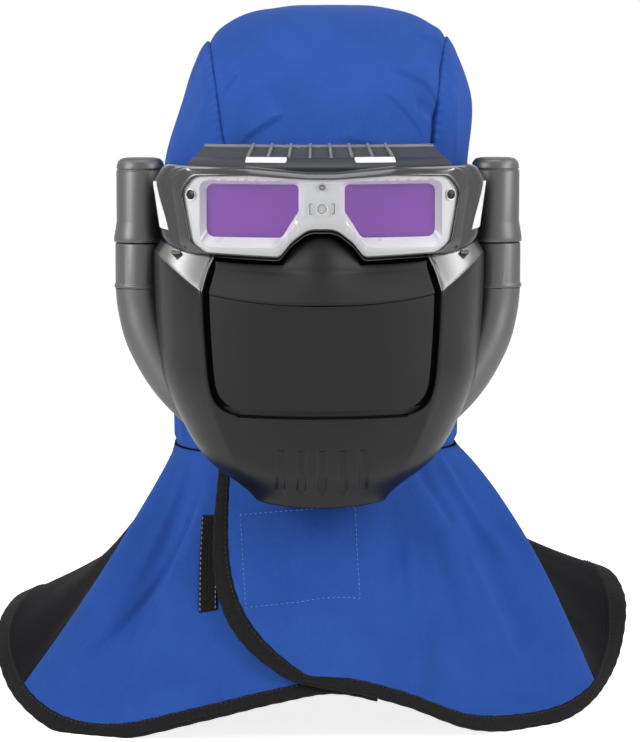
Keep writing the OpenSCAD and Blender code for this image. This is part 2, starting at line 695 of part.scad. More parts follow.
module duct_sleeve(side) {
    bore = spigot_r + running;
    top = collar_z - seat;
    color([0.14, 0.14, 0.15]) at_duct(side) rotate_extrude()
        polygon([[bore, sleeve_low], [sleeve_r + 0.8, sleeve_low], [sleeve_r + 0.8, sleeve_low + 2],
            [sleeve_r, sleeve_low + 3], [sleeve_r, top - 1], [sleeve_r - 1, top], [bore, top]]);
}
seal_r = 0.8;
seal_z = collar_z - 8;
hose_z = collar_z + 28;
// End of the hose socket behind the duct's axis, its depth and the stop inside it
hose_end = duct_r + hose_len - 4;
hose_depth = hose_len - 6;
hose_stop = 2;
module air_elbow(side) {
    r = duct_r;
    top = duct_top_z;
    in_r = spigot_r - 2 * seal_r - 1.2;
    color([0.15, 0.15, 0.16]) at_duct(side) difference() {
        union() {
            rotate_extrude() polygon([[0, collar_z - spigot_h], [spigot_r, collar_z - spigot_h],
                [spigot_r, collar_z], [r + 1.8, collar_z], [r + 1.8, collar_z + 3], [r + 0.3, collar_z + 12],
                [r, collar_z + 14], [r, top - 9], [r - 0.6, top - 8.5], [r - 0.6, top - 7.5],
                [r, top - 7], [r - 1, top - 3], [r - 3, top - 0.8], [r - 6, top], [0, top]]);
            translate([0, 0, hose_z]) rotate([-90, 0, 0]) cylinder(r = hose_bore_r + duct_wall, h = hose_end);
        }
        translate([0, 0, collar_z - spigot_h - 1]) cylinder(r = in_r, h = top - collar_z + spigot_h - 2);
        translate([0, 0, hose_z]) rotate([-90, 0, 0]) cylinder(r = hose_bore_r - hose_stop, h = hose_len + r);
        translate([0, hose_end - hose_depth, hose_z]) rotate([-90, 0, 0])
            cylinder(r = hose_bore_r, h = hose_depth + free);
        translate([0, 0, seal_z]) rotate_extrude() translate([spigot_r - seal_r, 0])
            square([seal_r + 1, 2 * seal_r], center = true);
    }
}
module elbow_seal(side) {
    color([0.5, 0.1, 0.1]) at_duct(side) translate([0, 0, seal_z])
        rotate_extrude() translate([spigot_r - seal_r + running, 0]) circle(r = seal_r - running, $fn = 24);
}

// Hood

// Angle from the front at which the crown's cloth begins, over the brow
brow_angle = 30;
// Place of the two crown seams across the arch, 0 in the middle and 1 at the ear
seam_s = 0.42;
// Power of the arch over the top, where the cloth stands boxier than round the ears
crown_power = 3.5;
// Above the strap the soft crown leans a little to the wearer's left
crown_lean = 9;
lean_from = 46;
lean_over = 60;
// Folds of the crown: place across, angle from the front, widths of both, height
crown_folds = [[-0.52, 52, 0.05, 22, 2.5], [-0.3, 34, 0.09, 9, -2], [0.36, 44, 0.05, 12, -4],
    [0.3, 36, 0.09, 9, 3], [0.5, 60, 0.06, 20, 3], [-0.42, 72, 0.06, 12, 3.5], [0.42, 78, 0.06, 12, 4]];
function crown_fold(s, a) =
    -2.2 * bump(abs(s), seam_s, 0.035)
    + sum([for (f = crown_folds) f[4] * bump(s, f[0], f[2]) * bump(a, f[1], f[3])]);
function sum(v, i = 0) = i >= len(v) ? 0 : v[i] + sum(v, i + 1);
function crown_point(s, a, inset) =
    let (w = hood_half_w - inset, d = hood_half_d - inset, h = crown_h - inset,
        r = 1 / norm([cos(a) / d, sin(a) / h]),
        power = mix(hood_power, crown_power, pow(sin(a), 2)),
        arch = [spow(sin(90 * s), 2 / power), pow(cos(90 * s), 2 / power)],
        out = r * arch[1] + (abs(s) > 0.95 ? 0 : crown_fold(s, a)),
        up = out * sin(a), lean = crown_lean * ease(clamp01((up - lean_from) / lean_over)))
    [w * arch[0] + lean, hood_y - out * cos(a), ear_z + up];
crown_steps = 20;
half_turn = 180;
// The front edge drops from the brow to the ears
function brow_edge(s) = brow_angle * (1 - ease(clamp01((abs(s) - 0.5) / 0.45)));
function crown_grid(ss, ks, inset) =
    [for (s = ss) [for (k = ks) crown_point(s, mix(brow_edge(s), half_turn, k), inset)]];
module crown_panel(ss, ks, pole) {
    color([0.13, 0.27, 0.66]) sheet(crown_grid(ss, ks, 0), crown_grid(ss, ks, cloth_t), pole);
}
crown_ks = [for (i = [0:crown_steps]) i / crown_steps];
crown_ks_back = [for (i = [crown_steps:-1:0]) i / crown_steps];
seam_gap_s = 0.0015;
module crown_centre() {
    crown_panel([for (i = [-7:7]) (seam_s - seam_gap_s) * i / 7], crown_ks, false);
}
side_ss = [0, 0.05, 0.12, 0.22, 0.36, 0.52, 0.68, 0.85, 1];
module crown_side(side) {
    ss = [for (k = side_ss) side * mix(seam_s + seam_gap_s, 1, k)];
    crown_panel(ss, side > 0 ? crown_ks : crown_ks_back, true);
}
// Neck: from the ears down to the bib seam, open towards the face
neck_open = 46;
function neck_point(a, t, inset) =
    let (w = mix(hood_half_w, neck_half_w, ease(t)) - inset,
        d = mix(hood_half_d, neck_half_d, ease(t)) - inset, k = 2 / hood_power)
    [w * spow(cos(a), k), hood_y + d * spow(sin(a), k), mix(ear_z - seat, neck_z + seat, t)];
module hood_neck() {
    turns = [for (i = [0:30]) mix(-neck_open, half_turn + neck_open, i / 30)];
    ts = [1, 0.97, 0.8, 0.6, 0.4, 0.2, 0];
    fold = function(t) t > 0.96 ? 2.5 : 0;
    color([0.13, 0.27, 0.66]) sheet([for (a = turns) [for (t = ts) neck_point(a, t, fold(t))]],
        [for (a = turns) [for (t = ts) neck_point(a, t, fold(t) + cloth_t)]]);
}

// Bib

// Hem of the bib from the front middle round the wearer's left: x, y, z, power of the flare
hem = [[10, -152, 36, 1.2], [52, -146, 25, 1.2], [99, -128, 5, 1.1], [140, -102, -1, 1], [175, -78, 2, 0.85],
    [200, -48, 14, 0.85], [219, -8, 36, 1.6], [227, 34, 68, 2.4], [213, 82, 80, 2.2], [170, 122, 46, 1.6],
    [95, mask_front - 13, 4, 1.2], [0, mask_front - 1, -1, 1.2], [-95, mask_front - 13, 4, 1.2],
    [-165, 122, 38, 1.6], [-207, 78, 64, 2.2], [-223, 26, 62, 2.2], [-226.4, -22, 44, 1.6],
    [-212, -66, 18, 1.1], [-180, -102, 0, 1.1], [-138, -122, -1, 1.2], [-80, -143, 16, 1.2],
    [-30, -152, 30, 1.2]];
// Folds of the bib: place round the hem in turns, width, height
bib_folds = [[0.11, 0.02, 5], [0.165, 0.018, -4], [0.06, 0.02, -3], [0.215, 0.016, 6], [0.25, 0.016, -7],
    [0.80, 0.016, 5], [0.76, 0.016, -6], [0.84, 0.02, -5], [0.88, 0.02, 5],
    [0.42, 0.02, 6], [0.46, 0.02, -5], [0.54, 0.02, -5], [0.58, 0.02, 6]];
function bib_point(u, v) =
    let (a = 2 * half_turn * u, power = 2 / hood_power,
        n = [neck_half_w * spow(sin(a), power), hood_y - neck_half_d * spow(cos(a), power), neck_z],
        h = round_ring(hem, u), k = pow(v, h[3]), turn = u - floor(u),
        fold = sin(180 * v) * sum([for (f = bib_folds) f[2] * bump(turn, f[0], f[1])]))
    [mix(n[0], h[0], k), mix(n[1], h[1], k), mix(n[2], h[2], v)] + fold * unit([h[0], h[1], 60]);
function bib_normal(u, v) =
    let (e = 0.004, w = max(e, min(1 - e, v)))
    unit(cross(bib_point(u + e, w) - bib_point(u - e, w), bib_point(u, w - e) - bib_point(u, w + e)));
function bib_at(u, v, off) =
    let (p = bib_point(u, v) + bib_normal(u, v) * off) [p[0], p[1], max(0, p[2])];
// Seams between front and gusset, and between gusset and back, in turns
side_seam = 0.225;
back_seam = 0.36;
seam_gap_u = 0.0004;
hem_v = 0.005 * tape_w;
hem_gap_v = 0.0016;
tape_over = 0.8;
// The left front laps over the right one, with room for the hem tape between them
lap = cloth_t + 2.8;
lap_under = 0.03;
function lapped(u) = lap * (1 - ease(clamp01((u - lap_under - 0.01) / (side_seam - lap_under - 0.02))));
function flat(u) = 0;
// Curved front edge of the overlapping flap, in turns at each height
function front_edge(v) = -0.10 + 0.08 * pow(v, 5);
tape_u = 0.0014 * tape_w;
cloth_vs = [for (i = [10:-1:0]) mix(0.002, 1 - hem_v - hem_gap_v, i / 10)];
tape_vs = [1, 1 - hem_v / 2, 1 - hem_v];
// Sheet of cloth or tape between two edges, each a function that gives turns at a height
module bib_strip(from, to, cols, vs, over, t, lift) {
    at = function(i, v) mix(from(v), to(v), i / cols);
    grid = function(off) [for (i = [0:cols]) [for (v = vs) bib_at(at(i, v), v, off + lift(at(i, v)))]];
    sheet(grid(over), grid(over - t));
}
front_cols = 16;
gusset_cols = 8;
back_cols = 20;
blue = [0.12, 0.25, 0.62];
black = [0.09, 0.08, 0.08];
module bib_front_left() {
    color(blue) bib_strip(function(v) front_edge(v) + tape_u, function(v) side_seam - seam_gap_u,
        front_cols, cloth_vs, 0, cloth_t, function(u) lapped(u));
}
module bib_front_right() {
    color(blue) bib_strip(function(v) 1 - side_seam + seam_gap_u, function(v) 1 + lap_under,
        front_cols, cloth_vs, 0, cloth_t, function(u) flat(u));
}
module bib_gusset(side) {
    a = side > 0 ? side_seam : 1 - back_seam;
    color(black) bib_strip(function(v) a, function(v) a + back_seam - side_seam - seam_gap_u,
        gusset_cols, cloth_vs, 0, cloth_t, function(u) flat(u));
}
module bib_back() {
    color(blue) bib_strip(function(v) back_seam, function(v) 1 - back_seam - seam_gap_u,
        back_cols, cloth_vs, 0, cloth_t, function(u) flat(u));
}
// Tape along the hem past the given turns
module hem_tape(us) {
    grid = function(off) [for (u = us) [for (v = tape_vs) bib_at(u, v, off)]];
    color(black) sheet(grid(tape_over), grid(tape_over - tape_t));
}
// One strip of tape down the front edge and on along the hem, mitred at the corner
module binding_left() {
    inner = function(v) front_edge(v) + tape_u - seam_gap_u;
    low = cloth_vs[0];
    down = [for (i = [len(cloth_vs) - 1:-1:1]) let (v = cloth_vs[i]) [[front_edge(v), v], [inner(v), v]]];
    mitre = [[front_edge(1), 1], [inner(1 - hem_v), 1 - hem_v]];
    along = [for (i = [2:front_cols])
        let (u = mix(front_edge(low) + tape_u, side_seam - seam_gap_u, i / front_cols))
        [[u, 1], [u, 1 - hem_v]]];
    grid = function(off) [for (pair = concat(down, [mitre], along))
        [for (q = pair) bib_at(q[0], q[1], off + lapped(q[0]))]];
    color(black) sheet(grid(tape_over), grid(tape_over - tape_t));
}
module binding_right() {
    hem_tape([for (i = [0:front_cols]) mix(1 - side_seam + seam_gap_u, 1 + lap_under, i / front_cols)]);
}
module binding_back() {
    hem_tape(concat([for (i = [0:gusset_cols - 1]) mix(side_seam, back_seam, i / gusset_cols)],
        [for (i = [0:back_cols - 1]) mix(back_seam, 1 - back_seam, i / back_cols)],
        [for (i = [0:gusset_cols]) mix(1 - back_seam, 1 - side_seam, i / gusset_cols)]));
}
// Fastening strip on the under front, beside the lapped edge
hook_edge = 0.899;
hook_share = 0.024;
hook_flare = 1.2;
hook_top = 0.24;
hook_low = 0.6;
hook_over = 1.6;
hook_t = 1.4;
module hook_strip() {
    from = function(v) hook_edge - hook_share / (1 + hook_flare * v);
    color(black) bib_strip(from, function(v) hook_edge, 3,
        [for (i = [5:-1:0]) mix(hook_top, hook_low, i / 5)], hook_over, hook_t, function(u) flat(u));
}

goggle_frame();
filter_bezel();
cover_lens();
filter_glass(1);  // filter_glass_left
filter_glass(-1);  // filter_glass_right
lcd_cell(1);  // lcd_cell_left
lcd_cell(-1);  // lcd_cell_right
circuit_board();
coin_cell();
cassette_back();
push_button(1);  // shade_button
push_button(-1);  // mode_button
arc_sensor(1);  // arc_sensor_left
arc_sensor(-1);  // arc_sensor_right
centre_lamp();
bezel_screw();
face_seal();
brow_vent();
vent_pad(1);  // vent_pad_left
vent_pad(-1);  // vent_pad_right
strap_clip(1);  // strap_clip_left
strap_clip(-1);  // strap_clip_right
head_strap(1);  // head_strap_left
head_strap(-1);  // head_strap_right
strap_buckle();
mask_shell();
front_panel();
nose_band();
mask_clip(1);  // mask_clip_left
mask_clip(-1);  // mask_clip_right
valve_seat();
valve_flap();
lower_duct(1);  // lower_duct_left
lower_duct(-1);  // lower_duct_right
duct_sleeve(1);  // duct_sleeve_left
duct_sleeve(-1);  // duct_sleeve_right
air_elbow(1);  // air_elbow_left
air_elbow(-1);  // air_elbow_right
elbow_seal(1);  // elbow_seal_left
elbow_seal(-1);  // elbow_seal_right
crown_centre();
crown_side(1);  // crown_side_left
crown_side(-1);  // crown_side_right
hood_neck();
bib_front_left();
bib_front_right();
bib_gusset(1);  // bib_gusset_left
bib_gusset(-1);  // bib_gusset_right
bib_back();
binding_left();
binding_right();
binding_back();
hook_strip();
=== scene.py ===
"""Looks of a powered air respirator's head unit.

Hood and bib in cloth, tape, straps, seal and stitches, moulded pieces, finishes and stage.
"""

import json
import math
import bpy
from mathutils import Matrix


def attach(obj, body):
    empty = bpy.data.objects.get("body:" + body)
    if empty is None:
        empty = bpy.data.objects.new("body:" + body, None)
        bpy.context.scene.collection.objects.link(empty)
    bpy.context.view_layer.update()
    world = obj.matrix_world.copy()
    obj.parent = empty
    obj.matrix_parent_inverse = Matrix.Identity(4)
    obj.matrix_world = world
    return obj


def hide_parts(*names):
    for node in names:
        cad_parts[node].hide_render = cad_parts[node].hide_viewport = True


bl_info = {
    "name": "Respirator head unit",
    "version": (1, 0, 0),
    "blender": (4, 5, 0),
    "location": "3D View > Sidebar > Head unit",
    "description": "Dresses the packed head unit with cloth, tape, stitches and finishes",
    "category": "Object",
}

import bmesh
import bpy
import numpy as np
from bpy.props import FloatProperty, FloatVectorProperty, PointerProperty
from mathutils import Vector

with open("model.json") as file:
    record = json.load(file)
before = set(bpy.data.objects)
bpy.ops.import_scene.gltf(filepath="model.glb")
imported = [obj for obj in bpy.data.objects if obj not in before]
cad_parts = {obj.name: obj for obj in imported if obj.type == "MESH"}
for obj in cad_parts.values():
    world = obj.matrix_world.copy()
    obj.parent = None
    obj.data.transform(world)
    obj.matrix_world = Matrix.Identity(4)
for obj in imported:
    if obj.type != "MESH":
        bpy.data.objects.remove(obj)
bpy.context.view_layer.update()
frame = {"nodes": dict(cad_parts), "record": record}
NODES = frame["nodes"]
HEAD = "head_unit"
MM = 0.001


# Settings


def colour(name, description, default):
    """A colour setting."""
    return FloatVectorProperty(
        name=name, description=description, default=default, subtype="COLOR", min=0, max=1, size=3
    )


def length(name, description, default, low, high):
    """A length setting in metres."""
    return FloatProperty(
        name=name,
        description=description,
        default=default,
        min=low,
        max=high,
        subtype="DISTANCE",
        unit="LENGTH",
        precision=5,
    )


def number(name, description, default, low=0.0, high=1000.0):
    """A setting that is a plain number."""
    return FloatProperty(name=name, description=description, default=default, min=low, max=high)


class HoodSettings(bpy.types.PropertyGroup):
    """Cloth of the hood and bib."""

    blue: colour("Blue cloth", "Colour of the hood and the bib", (0.026, 0.092, 0.40))
    black: colour("Black cloth", "Colour of the gussets and the lining", (0.008, 0.0075, 0.009))
    tape: colour("Binding tape", "Colour of the tape on the bib's edge", (0.007, 0.007, 0.0075))
    thread: colour("Thread", "Colour of the stitches on the blue cloth", (0.10, 0.25, 0.62))
    pale_thread: colour("Pale thread", "Colour of the stitches on the hook strip", (0.32, 0.31, 0.30))
    cloth: length("Cloth", "Thickness of the cloth", 0.0016, 0.0005, 0.004)
    weave: length("Weave", "Width of one thread of the weave", 0.0007, 0.0002, 0.004)
    stitch: length("Stitch", "Length of one stitch", 0.0024, 0.001, 0.008)
    stitch_gap: length("Stitch gap", "Gap between two stitches", 0.0011, 0.0002, 0.008)
    crease: number("Creases", "Strength of the small creases", 1.0, 0, 3)


class GoggleSettings(bpy.types.PropertyGroup):
    """Finishes of the goggles, mask and ducts."""

    silver: colour("Silver", "Colour of the bezel", (0.80, 0.805, 0.82))
    purple: colour("Filter", "Colour of the filter glass", (0.215, 0.050, 0.42))
    black: colour("Black plastic", "Colour of the goggle frame", (0.004, 0.004, 0.005))
    mask: colour("Mask", "Colour of the mask", (0.0055, 0.0055, 0.006))
    duct: colour("Ducts", "Colour of the air ducts", (0.007, 0.007, 0.007))
    white: colour("Pale plastic", "Colour of the pads and side plates", (0.92, 0.92, 0.91))
    grain: length("Grain", "Size of the moulded grain", 0.0011, 0.0002, 0.01)


class StageSettings(bpy.types.PropertyGroup):
    """Floor, light and camera."""

    floor: colour("Floor", "Colour of the floor", (0.86, 0.86, 0.86))
    side_light: number("Side lights", "Power of the two tall side lights in watts", 17.5)
    high_light: number("High lights", "Power of the two narrow high lights in watts", 0.058)
    top_light: number("Top light", "Power of the light overhead in watts", 4.5)
    ambient: number("Ambient", "Strength of the light from all round", 0.12)
    target: FloatVectorProperty(
        name="Target",
        description="Point at the middle of the picture",
        default=(-0.0013, -0.150, 0.252),
        subtype="TRANSLATION",
    )
    distance: length("Distance", "From camera to target", 2.0, 0.5, 10)
    azimuth: number("Azimuth", "Camera's turn in degrees", -1.8, -180, 180)
    elevation: number("Elevation", "Camera's height in degrees", 6.0, -90, 90)
    lens: number("Lens", "Focal length in millimetres", 147.0, 10)


# Curves, noise and rows of points


def mix(a, b, t):
    return a + (b - a) * t


def ease(t):
    t = np.clip(t, 0, 1)
    return t * t * (3 - 2 * t)


def bump(t, at, width):
    return np.exp(-(((t - at) / width) ** 2))


def spow(v, p):
    return np.sign(v) * np.abs(v) ** p


def unit(v):
    return v / np.maximum(np.linalg.norm(v, axis=-1, keepdims=True), 1e-12)


def spline(rows, f, ring):
    """Smooth curve through rows; f counts rows and may be an array."""
    rows = np.asarray(rows, float)
    n = len(rows)
    i = np.floor(f).astype(int)
    if ring:
        s = f - i
        pick = [rows[(i + k) % n] for k in (-1, 0, 1, 2)]
    else:
        i = np.clip(i, 0, n - 2)
        s = f - i
        pick = [rows[np.clip(i + k, 0, n - 1)] for k in (-1, 0, 1, 2)]
    s = s[..., None]
    a, b, c, d = pick
    return 0.5 * (2 * b + (c - a) * s + (2 * a - 5 * b + 4 * c - d) * s**2 + (3 * b - a - 3 * c + d) * s**3)


def hashed(i, j, k, seed):
    """Repeatable noise value between -1 and 1 at whole-numbered places."""
    h = np.sin(i * 127.1 + j * 311.7 + k * 74.7 + seed * 53.3) * 43758.5453
    return 2 * (h - np.floor(h)) - 1


def noise3(p, size, seed):
    """Smooth noise over points p, with one cell of the given size."""
    q = p / size
    i = np.floor(q)
    f = ease(q - i)
    total = 0
    for corner in np.ndindex(2, 2, 2):
        a, b, c = np.moveaxis(np.where(corner, f, 1 - f), -1, 0)
        total = total + a * b * c * hashed(*np.moveaxis(i + corner, -1, 0), seed)
    return total


def runs(*rows):
    """Places in a row, in runs of a first place, a last place and their number."""
    return np.concatenate([np.linspace(*row) for row in rows])


def both_sides(half):
    """A row of places from 0 outwards, with its mirror image before it."""
    return np.concatenate([-half[:0:-1], half])


def run_of(p):
    """Length in metres of a row of points in millimetres."""
    return float(np.linalg.norm(np.diff(p, axis=0), axis=1).sum() * MM)


def grid(us, vs):
    return np.meshgrid(us, vs, indexing="ij")


def grid_normals(p):
    """Normals of a grid of points, from its own rows and columns."""
    du = np.gradient(p, axis=0)
    dv = np.gradient(p, axis=1)
    return unit(np.cross(du, dv))


# Meshes and pieces


def grid_mesh(name, p, flip):
    """Mesh object from a grid of points in metres, with a UV map in metres of cloth."""
    rows, cols = p.shape[:2]
    along = np.zeros((rows, cols))
    along[1:] = np.cumsum(np.linalg.norm(np.diff(p, axis=0), axis=2).mean(1))[:, None]
    across = np.zeros((rows, cols))
    across[:, 1:] = np.cumsum(np.linalg.norm(np.diff(p, axis=1), axis=2).mean(0))[None, :]
    uv = np.stack([along, across], axis=2)
    ids = np.arange(rows * cols).reshape(rows, cols)
    quads = np.stack([ids[:-1, :-1], ids[1:, :-1], ids[1:, 1:], ids[:-1, 1:]], axis=2).reshape(-1, 4)
    if flip:
        quads = quads[:, ::-1]
    mesh = bpy.data.meshes.new(name)
    mesh.from_pydata(p.reshape(-1, 3).tolist(), [], quads.tolist())
    layer = mesh.uv_layers.new(name="cloth")
    layer.data.foreach_set("uv", uv.reshape(-1, 2)[quads.reshape(-1)].astype(np.float32).ravel())
    shade_smooth(mesh)
    mesh.update()
    return link(name, mesh)


def link(name, mesh):
    """Object for a mesh, at the origin."""
    piece = bpy.data.objects.new(name, mesh)
    bpy.context.scene.collection.objects.link(piece)
    return piece


def shade_smooth(mesh, sharp=None):
    """Smooth faces, with edges steeper than sharp degrees kept sharp."""
    mesh.polygons.foreach_set("use_smooth", [True] * len(mesh.polygons))
    if sharp is not None:
        mesh.set_sharp_from_angle(angle=math.radians(sharp))


def edit_mesh(mesh, change, into=None):
    """Opens a mesh for one change, and writes it back or into another mesh."""
    work = bmesh.new()
    work.from_mesh(mesh)
    change(work)
    target = mesh if into is None else into
    work.to_mesh(target)
    work.free()
    target.update()


def weld(mesh, near=0.00002, into=None):
    """Welds the points of a mesh that meet."""
    edit_mesh(mesh, lambda work: bmesh.ops.remove_doubles(work, verts=work.verts, dist=near), into)


def outside_out(piece):
    """Turns the faces of a closed mesh outwards."""
    edit_mesh(piece.data, lambda work: bmesh.ops.recalc_face_normals(work, faces=work.faces))
    return piece


def baked(piece):
    """Turns a piece's modifiers into its plain mesh."""
    shaped = piece.evaluated_get(bpy.context.evaluated_depsgraph_get())
    piece.data = bpy.data.meshes.new_from_object(shaped)
    piece.modifiers.clear()
    return piece


def thicken(piece, thickness):
    """Gives a sheet its thickness, inwards from its face."""
    wall = piece.modifiers.new("Thickness", "SOLIDIFY")
    wall.thickness = thickness
    wall.offset = -1.0
    wall.use_rim = True
    wall.use_even_offset = False
    return wall


def soften(piece):
    """Rounds a piece with a subdivision surface."""
    round_off = piece.modifiers.new("Rounding", "SUBSURF")
    round_off.levels = round_off.render_levels = 1
    return piece


def finish_of(piece, *finishes):
    """Gives a piece its material or materials."""
    piece.data.materials.clear()
    for made in finishes:
        piece.data.materials.append(made)
    return piece


def settle(piece, slot, *nodes, body=HEAD):
    """Puts a finished piece on its body and hides the solids that it stands for; slot is not used."""
    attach(piece, body)
    if nodes:
        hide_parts(*nodes)
    return piece


def sheet_of(p):
    """Works out a cloth grid's greatest row and column lengths and its area; the results are not kept."""
    rows = np.linalg.norm(np.diff(p, axis=0), axis=2).sum(0).max()
    cols = np.linalg.norm(np.diff(p, axis=1), axis=2).sum(1).max()
    a, b, c, d = p[:-1, :-1], p[1:, :-1], p[1:, 1:], p[:-1, 1:]
    area = 0.5 * np.linalg.norm(np.cross(c - a, d - b), axis=2).sum()
    width, height = float(rows), float(cols)
    area = float(min(area, width * height))


# Finishes


def new_finish(name):
    """A fresh material with its node tree and main shader."""
    made = bpy.data.materials.new(name)
    made.use_nodes = True
    return made, made.node_tree, made.node_tree.nodes["Principled BSDF"]


def set_inputs(tree, made, inputs):
    """Sets a node's inputs; each is a value or another node's socket."""
    for key, value in inputs.items():
        if isinstance(value, bpy.types.NodeSocket):
            tree.links.new(value, made.inputs[key])
        else:
            made.inputs[key].default_value = value


def node(tree, kind, inputs=None, **settings):
    """Adds a node with its settings and inputs."""
    made = tree.nodes.new(kind)
    for key, value in settings.items():
        setattr(made, key, value)
    set_inputs(tree, made, inputs or {})
    return made


def math_node(tree, operation, a, b=0.0):
    return node(tree, "ShaderNodeMath", {0: a, 1: b}, operation=operation).outputs[0]


def weighted(tree, a, a_share, b, b_share):
    """Sum of two values, each times its share."""
    first = math_node(tree, "MULTIPLY", a, a_share)
    return math_node(tree, "ADD", first, math_node(tree, "MULTIPLY", b, b_share))


def noise_node(tree, place, scale, detail=2.0, rough=0.5):
    """Noise over places in metres, with scale cells to the metre."""
    inputs = {"Vector": place, "Scale": scale, "Detail": detail, "Roughness": rough}
    return node(tree, "ShaderNodeTexNoise", inputs).outputs["Fac"]


def relief(tree, strength, depth, height):
    """Normals of a surface with a raised pattern, depth in metres."""
    inputs = {"Strength": strength, "Distance": depth, "Height": height}
    return node(tree, "ShaderNodeBump", inputs).outputs["Normal"]


def shade_of(rgb, factor):
    """A lighter or darker shade of a colour, with full alpha."""
    return tuple(min(1.0, c * factor) for c in rgb) + (1.0,)


def spread(tree, value, low, high, start=0.3, stop=0.7):
    """Maps start to stop on to low to high; noise runs from about 0.3 to 0.7."""
    inputs = {"Value": value, "From Min": start, "From Max": stop, "To Min": low, "To Max": high}
    return node(tree, "ShaderNodeMapRange", inputs).outputs["Result"]


def two_tone(tree, factor, dark, light):
    made = node(tree, "ShaderNodeMix", {0: factor, 6: dark, 7: light}, data_type="RGBA")
    return made.outputs[2]


def moulded_finish(
    name, rgb, rough, grain, depth=0.00006, tone=0.18, coat=0.0, metal=0.0, shine=0.5, ior=1.5
):
    """Moulded plastic or painted metal: fine grain and uneven gloss."""
    scuff = 0.05
    made, tree, shader = new_finish(name)
    place = node(tree, "ShaderNodeTexCoord").outputs["Object"]
    cloud = noise_node(tree, place, 14.0, 3.0)
    specks = noise_node(tree, place, 1.0 / grain)
    inputs = {
        "Base Color": two_tone(tree, cloud, shade_of(rgb, 1 - tone), shade_of(rgb, 1 + tone)),
        "Roughness": spread(tree, cloud, rough - scuff, rough + scuff),
        "Normal": relief(tree, 0.5, depth, specks),
        "Metallic": metal,
        "Coat Weight": coat,
        "Coat Roughness": 0.12,
        "Specular IOR Level": shine,
        "IOR": ior,
    }
    set_inputs(tree, shader, inputs)
    return made


def woven_finish(name, rgb, thread, sheen=0.18):
    """Woven cloth on its own UV map in metres: threads, twill, slubs and a soft nap."""
    rough, scuff, tone, depth = 0.86, 0.06, 0.16, 0.00022
    made, tree, shader = new_finish(name)
    coords = node(tree, "ShaderNodeTexCoord").outputs
    cut = node(tree, "ShaderNodeSeparateXYZ", {0: coords["UV"]}).outputs
    turn = math.pi / thread
    along = math_node(tree, "MULTIPLY", cut["X"], turn)
    across = math_node(tree, "MULTIPLY", cut["Y"], turn)
    plain = math_node(tree, "MULTIPLY", math_node(tree, "SINE", along), math_node(tree, "SINE", across))
    twill = math_node(tree, "SINE", math_node(tree, "ADD", along, across))
    crossing = weighted(tree, plain, 0.5, twill, 0.5)
    cloud = noise_node(tree, coords["Object"], 22.0, 4.0, 0.6)
    slubs = noise_node(tree, coords["Object"], 700.0)
    blotch = weighted(tree, cloud, 0.6, slubs, 0.4)
    shown = math_node(tree, "ADD", blotch, math_node(tree, "MULTIPLY", crossing, 0.10))
    shown = spread(tree, shown, 0.0, 1.0)
    height = math_node(tree, "ADD", math_node(tree, "MULTIPLY", crossing, 0.5), slubs)
    inputs = {
        "Base Color": two_tone(tree, shown, shade_of(rgb, 1 - tone), shade_of(rgb, 1 + tone)),
        "Roughness": spread(tree, slubs, rough - scuff, rough + scuff),
        "Normal": relief(tree, 0.55, depth, height),
        "Sheen Weight": sheen,
        "Sheen Roughness": 0.45,
        "Sheen Tint": shade_of(tuple(0.35 + 0.6 * c for c in rgb), 1),
        "Specular IOR Level": 0.12,
    }
    set_inputs(tree, shader, inputs)
    return made


def ribbed_finish(name, rgb, rib, rough=0.72):
    """Ribbed tape or webbing: ribs across the strip's own UV map, in metres."""
    thread, depth = 1.3 * rib, 0.0004
    made, tree, shader = new_finish(name)
    coords = node(tree, "ShaderNodeTexCoord").outputs
    cut = node(tree, "ShaderNodeSeparateXYZ", {0: coords["UV"]}).outputs
    ribs = math_node(tree, "SINE", math_node(tree, "MULTIPLY", cut["X"], 2 * math.pi / rib))
    threads = math_node(tree, "SINE", math_node(tree, "MULTIPLY", cut["Y"], 2 * math.pi / thread))
    fuzz = noise_node(tree, coords["Object"], 420.0, 3.0)
    weave = weighted(tree, ribs, 0.5, threads, 0.2)
    shown = math_node(tree, "ADD", fuzz, math_node(tree, "MULTIPLY", weave, 0.22))
    shown = spread(tree, shown, 0.0, 1.0)
    inputs = {
        "Base Color": two_tone(tree, shown, shade_of(rgb, 0.6), shade_of(rgb, 1.7)),
        "Roughness": spread(tree, fuzz, rough - 0.06, rough + 0.08),
        "Normal": relief(tree, 0.7, depth, math_node(tree, "ADD", weave, fuzz)),
        "Sheen Weight": 0.04,
        "Sheen Roughness": 0.5,
        "Specular IOR Level": 0.12,
    }
    set_inputs(tree, shader, inputs)
    return made


def foam_finish(name, rgb):
    """Closed-cell foam: small pits and a dull skin."""
    made, tree, shader = new_finish(name)
    place = node(tree, "ShaderNodeTexCoord").outputs["Object"]
    cells = node(tree, "ShaderNodeTexVoronoi", {"Vector": place, "Scale": 620.0}).outputs["Distance"]
    cloud = noise_node(tree, place, 60.0)
    inputs = {
        "Base Color": two_tone(tree, cloud, shade_of(rgb, 0.7), shade_of(rgb, 1.4)),
        "Roughness": spread(tree, cloud, 0.78, 0.92),
        "Normal": relief(tree, 0.6, 0.0004, cells),
    }
    set_inputs(tree, shader, inputs)
    return made


def clear_finish(name):
    """Clear plastic cover: seen through from the front, with a painted reflection along its edges, where it
    turns near-white and opaque.
    """
    made, tree, shader = new_finish(name)
    place = node(tree, "ShaderNodeTexCoord").outputs["Object"]
    haze = noise_node(tree, place, 40.0)
    edge = node(tree, "ShaderNodeLayerWeight", {"Blend": 0.35}).outputs["Facing"]
    inputs = {
        "Base Color": two_tone(tree, haze, (0.90, 0.92, 0.94, 1), (0.97, 0.98, 1.0, 1)),
        "Roughness": spread(tree, haze, 0.03, 0.07),
        # Painted reflection: the near-white cover grows opaque where it is seen edge-on
        "Alpha": spread(tree, edge, 0.015, 0.6, 0.2, 1.0),
    }
    set_inputs(tree, shader, inputs)
    return made


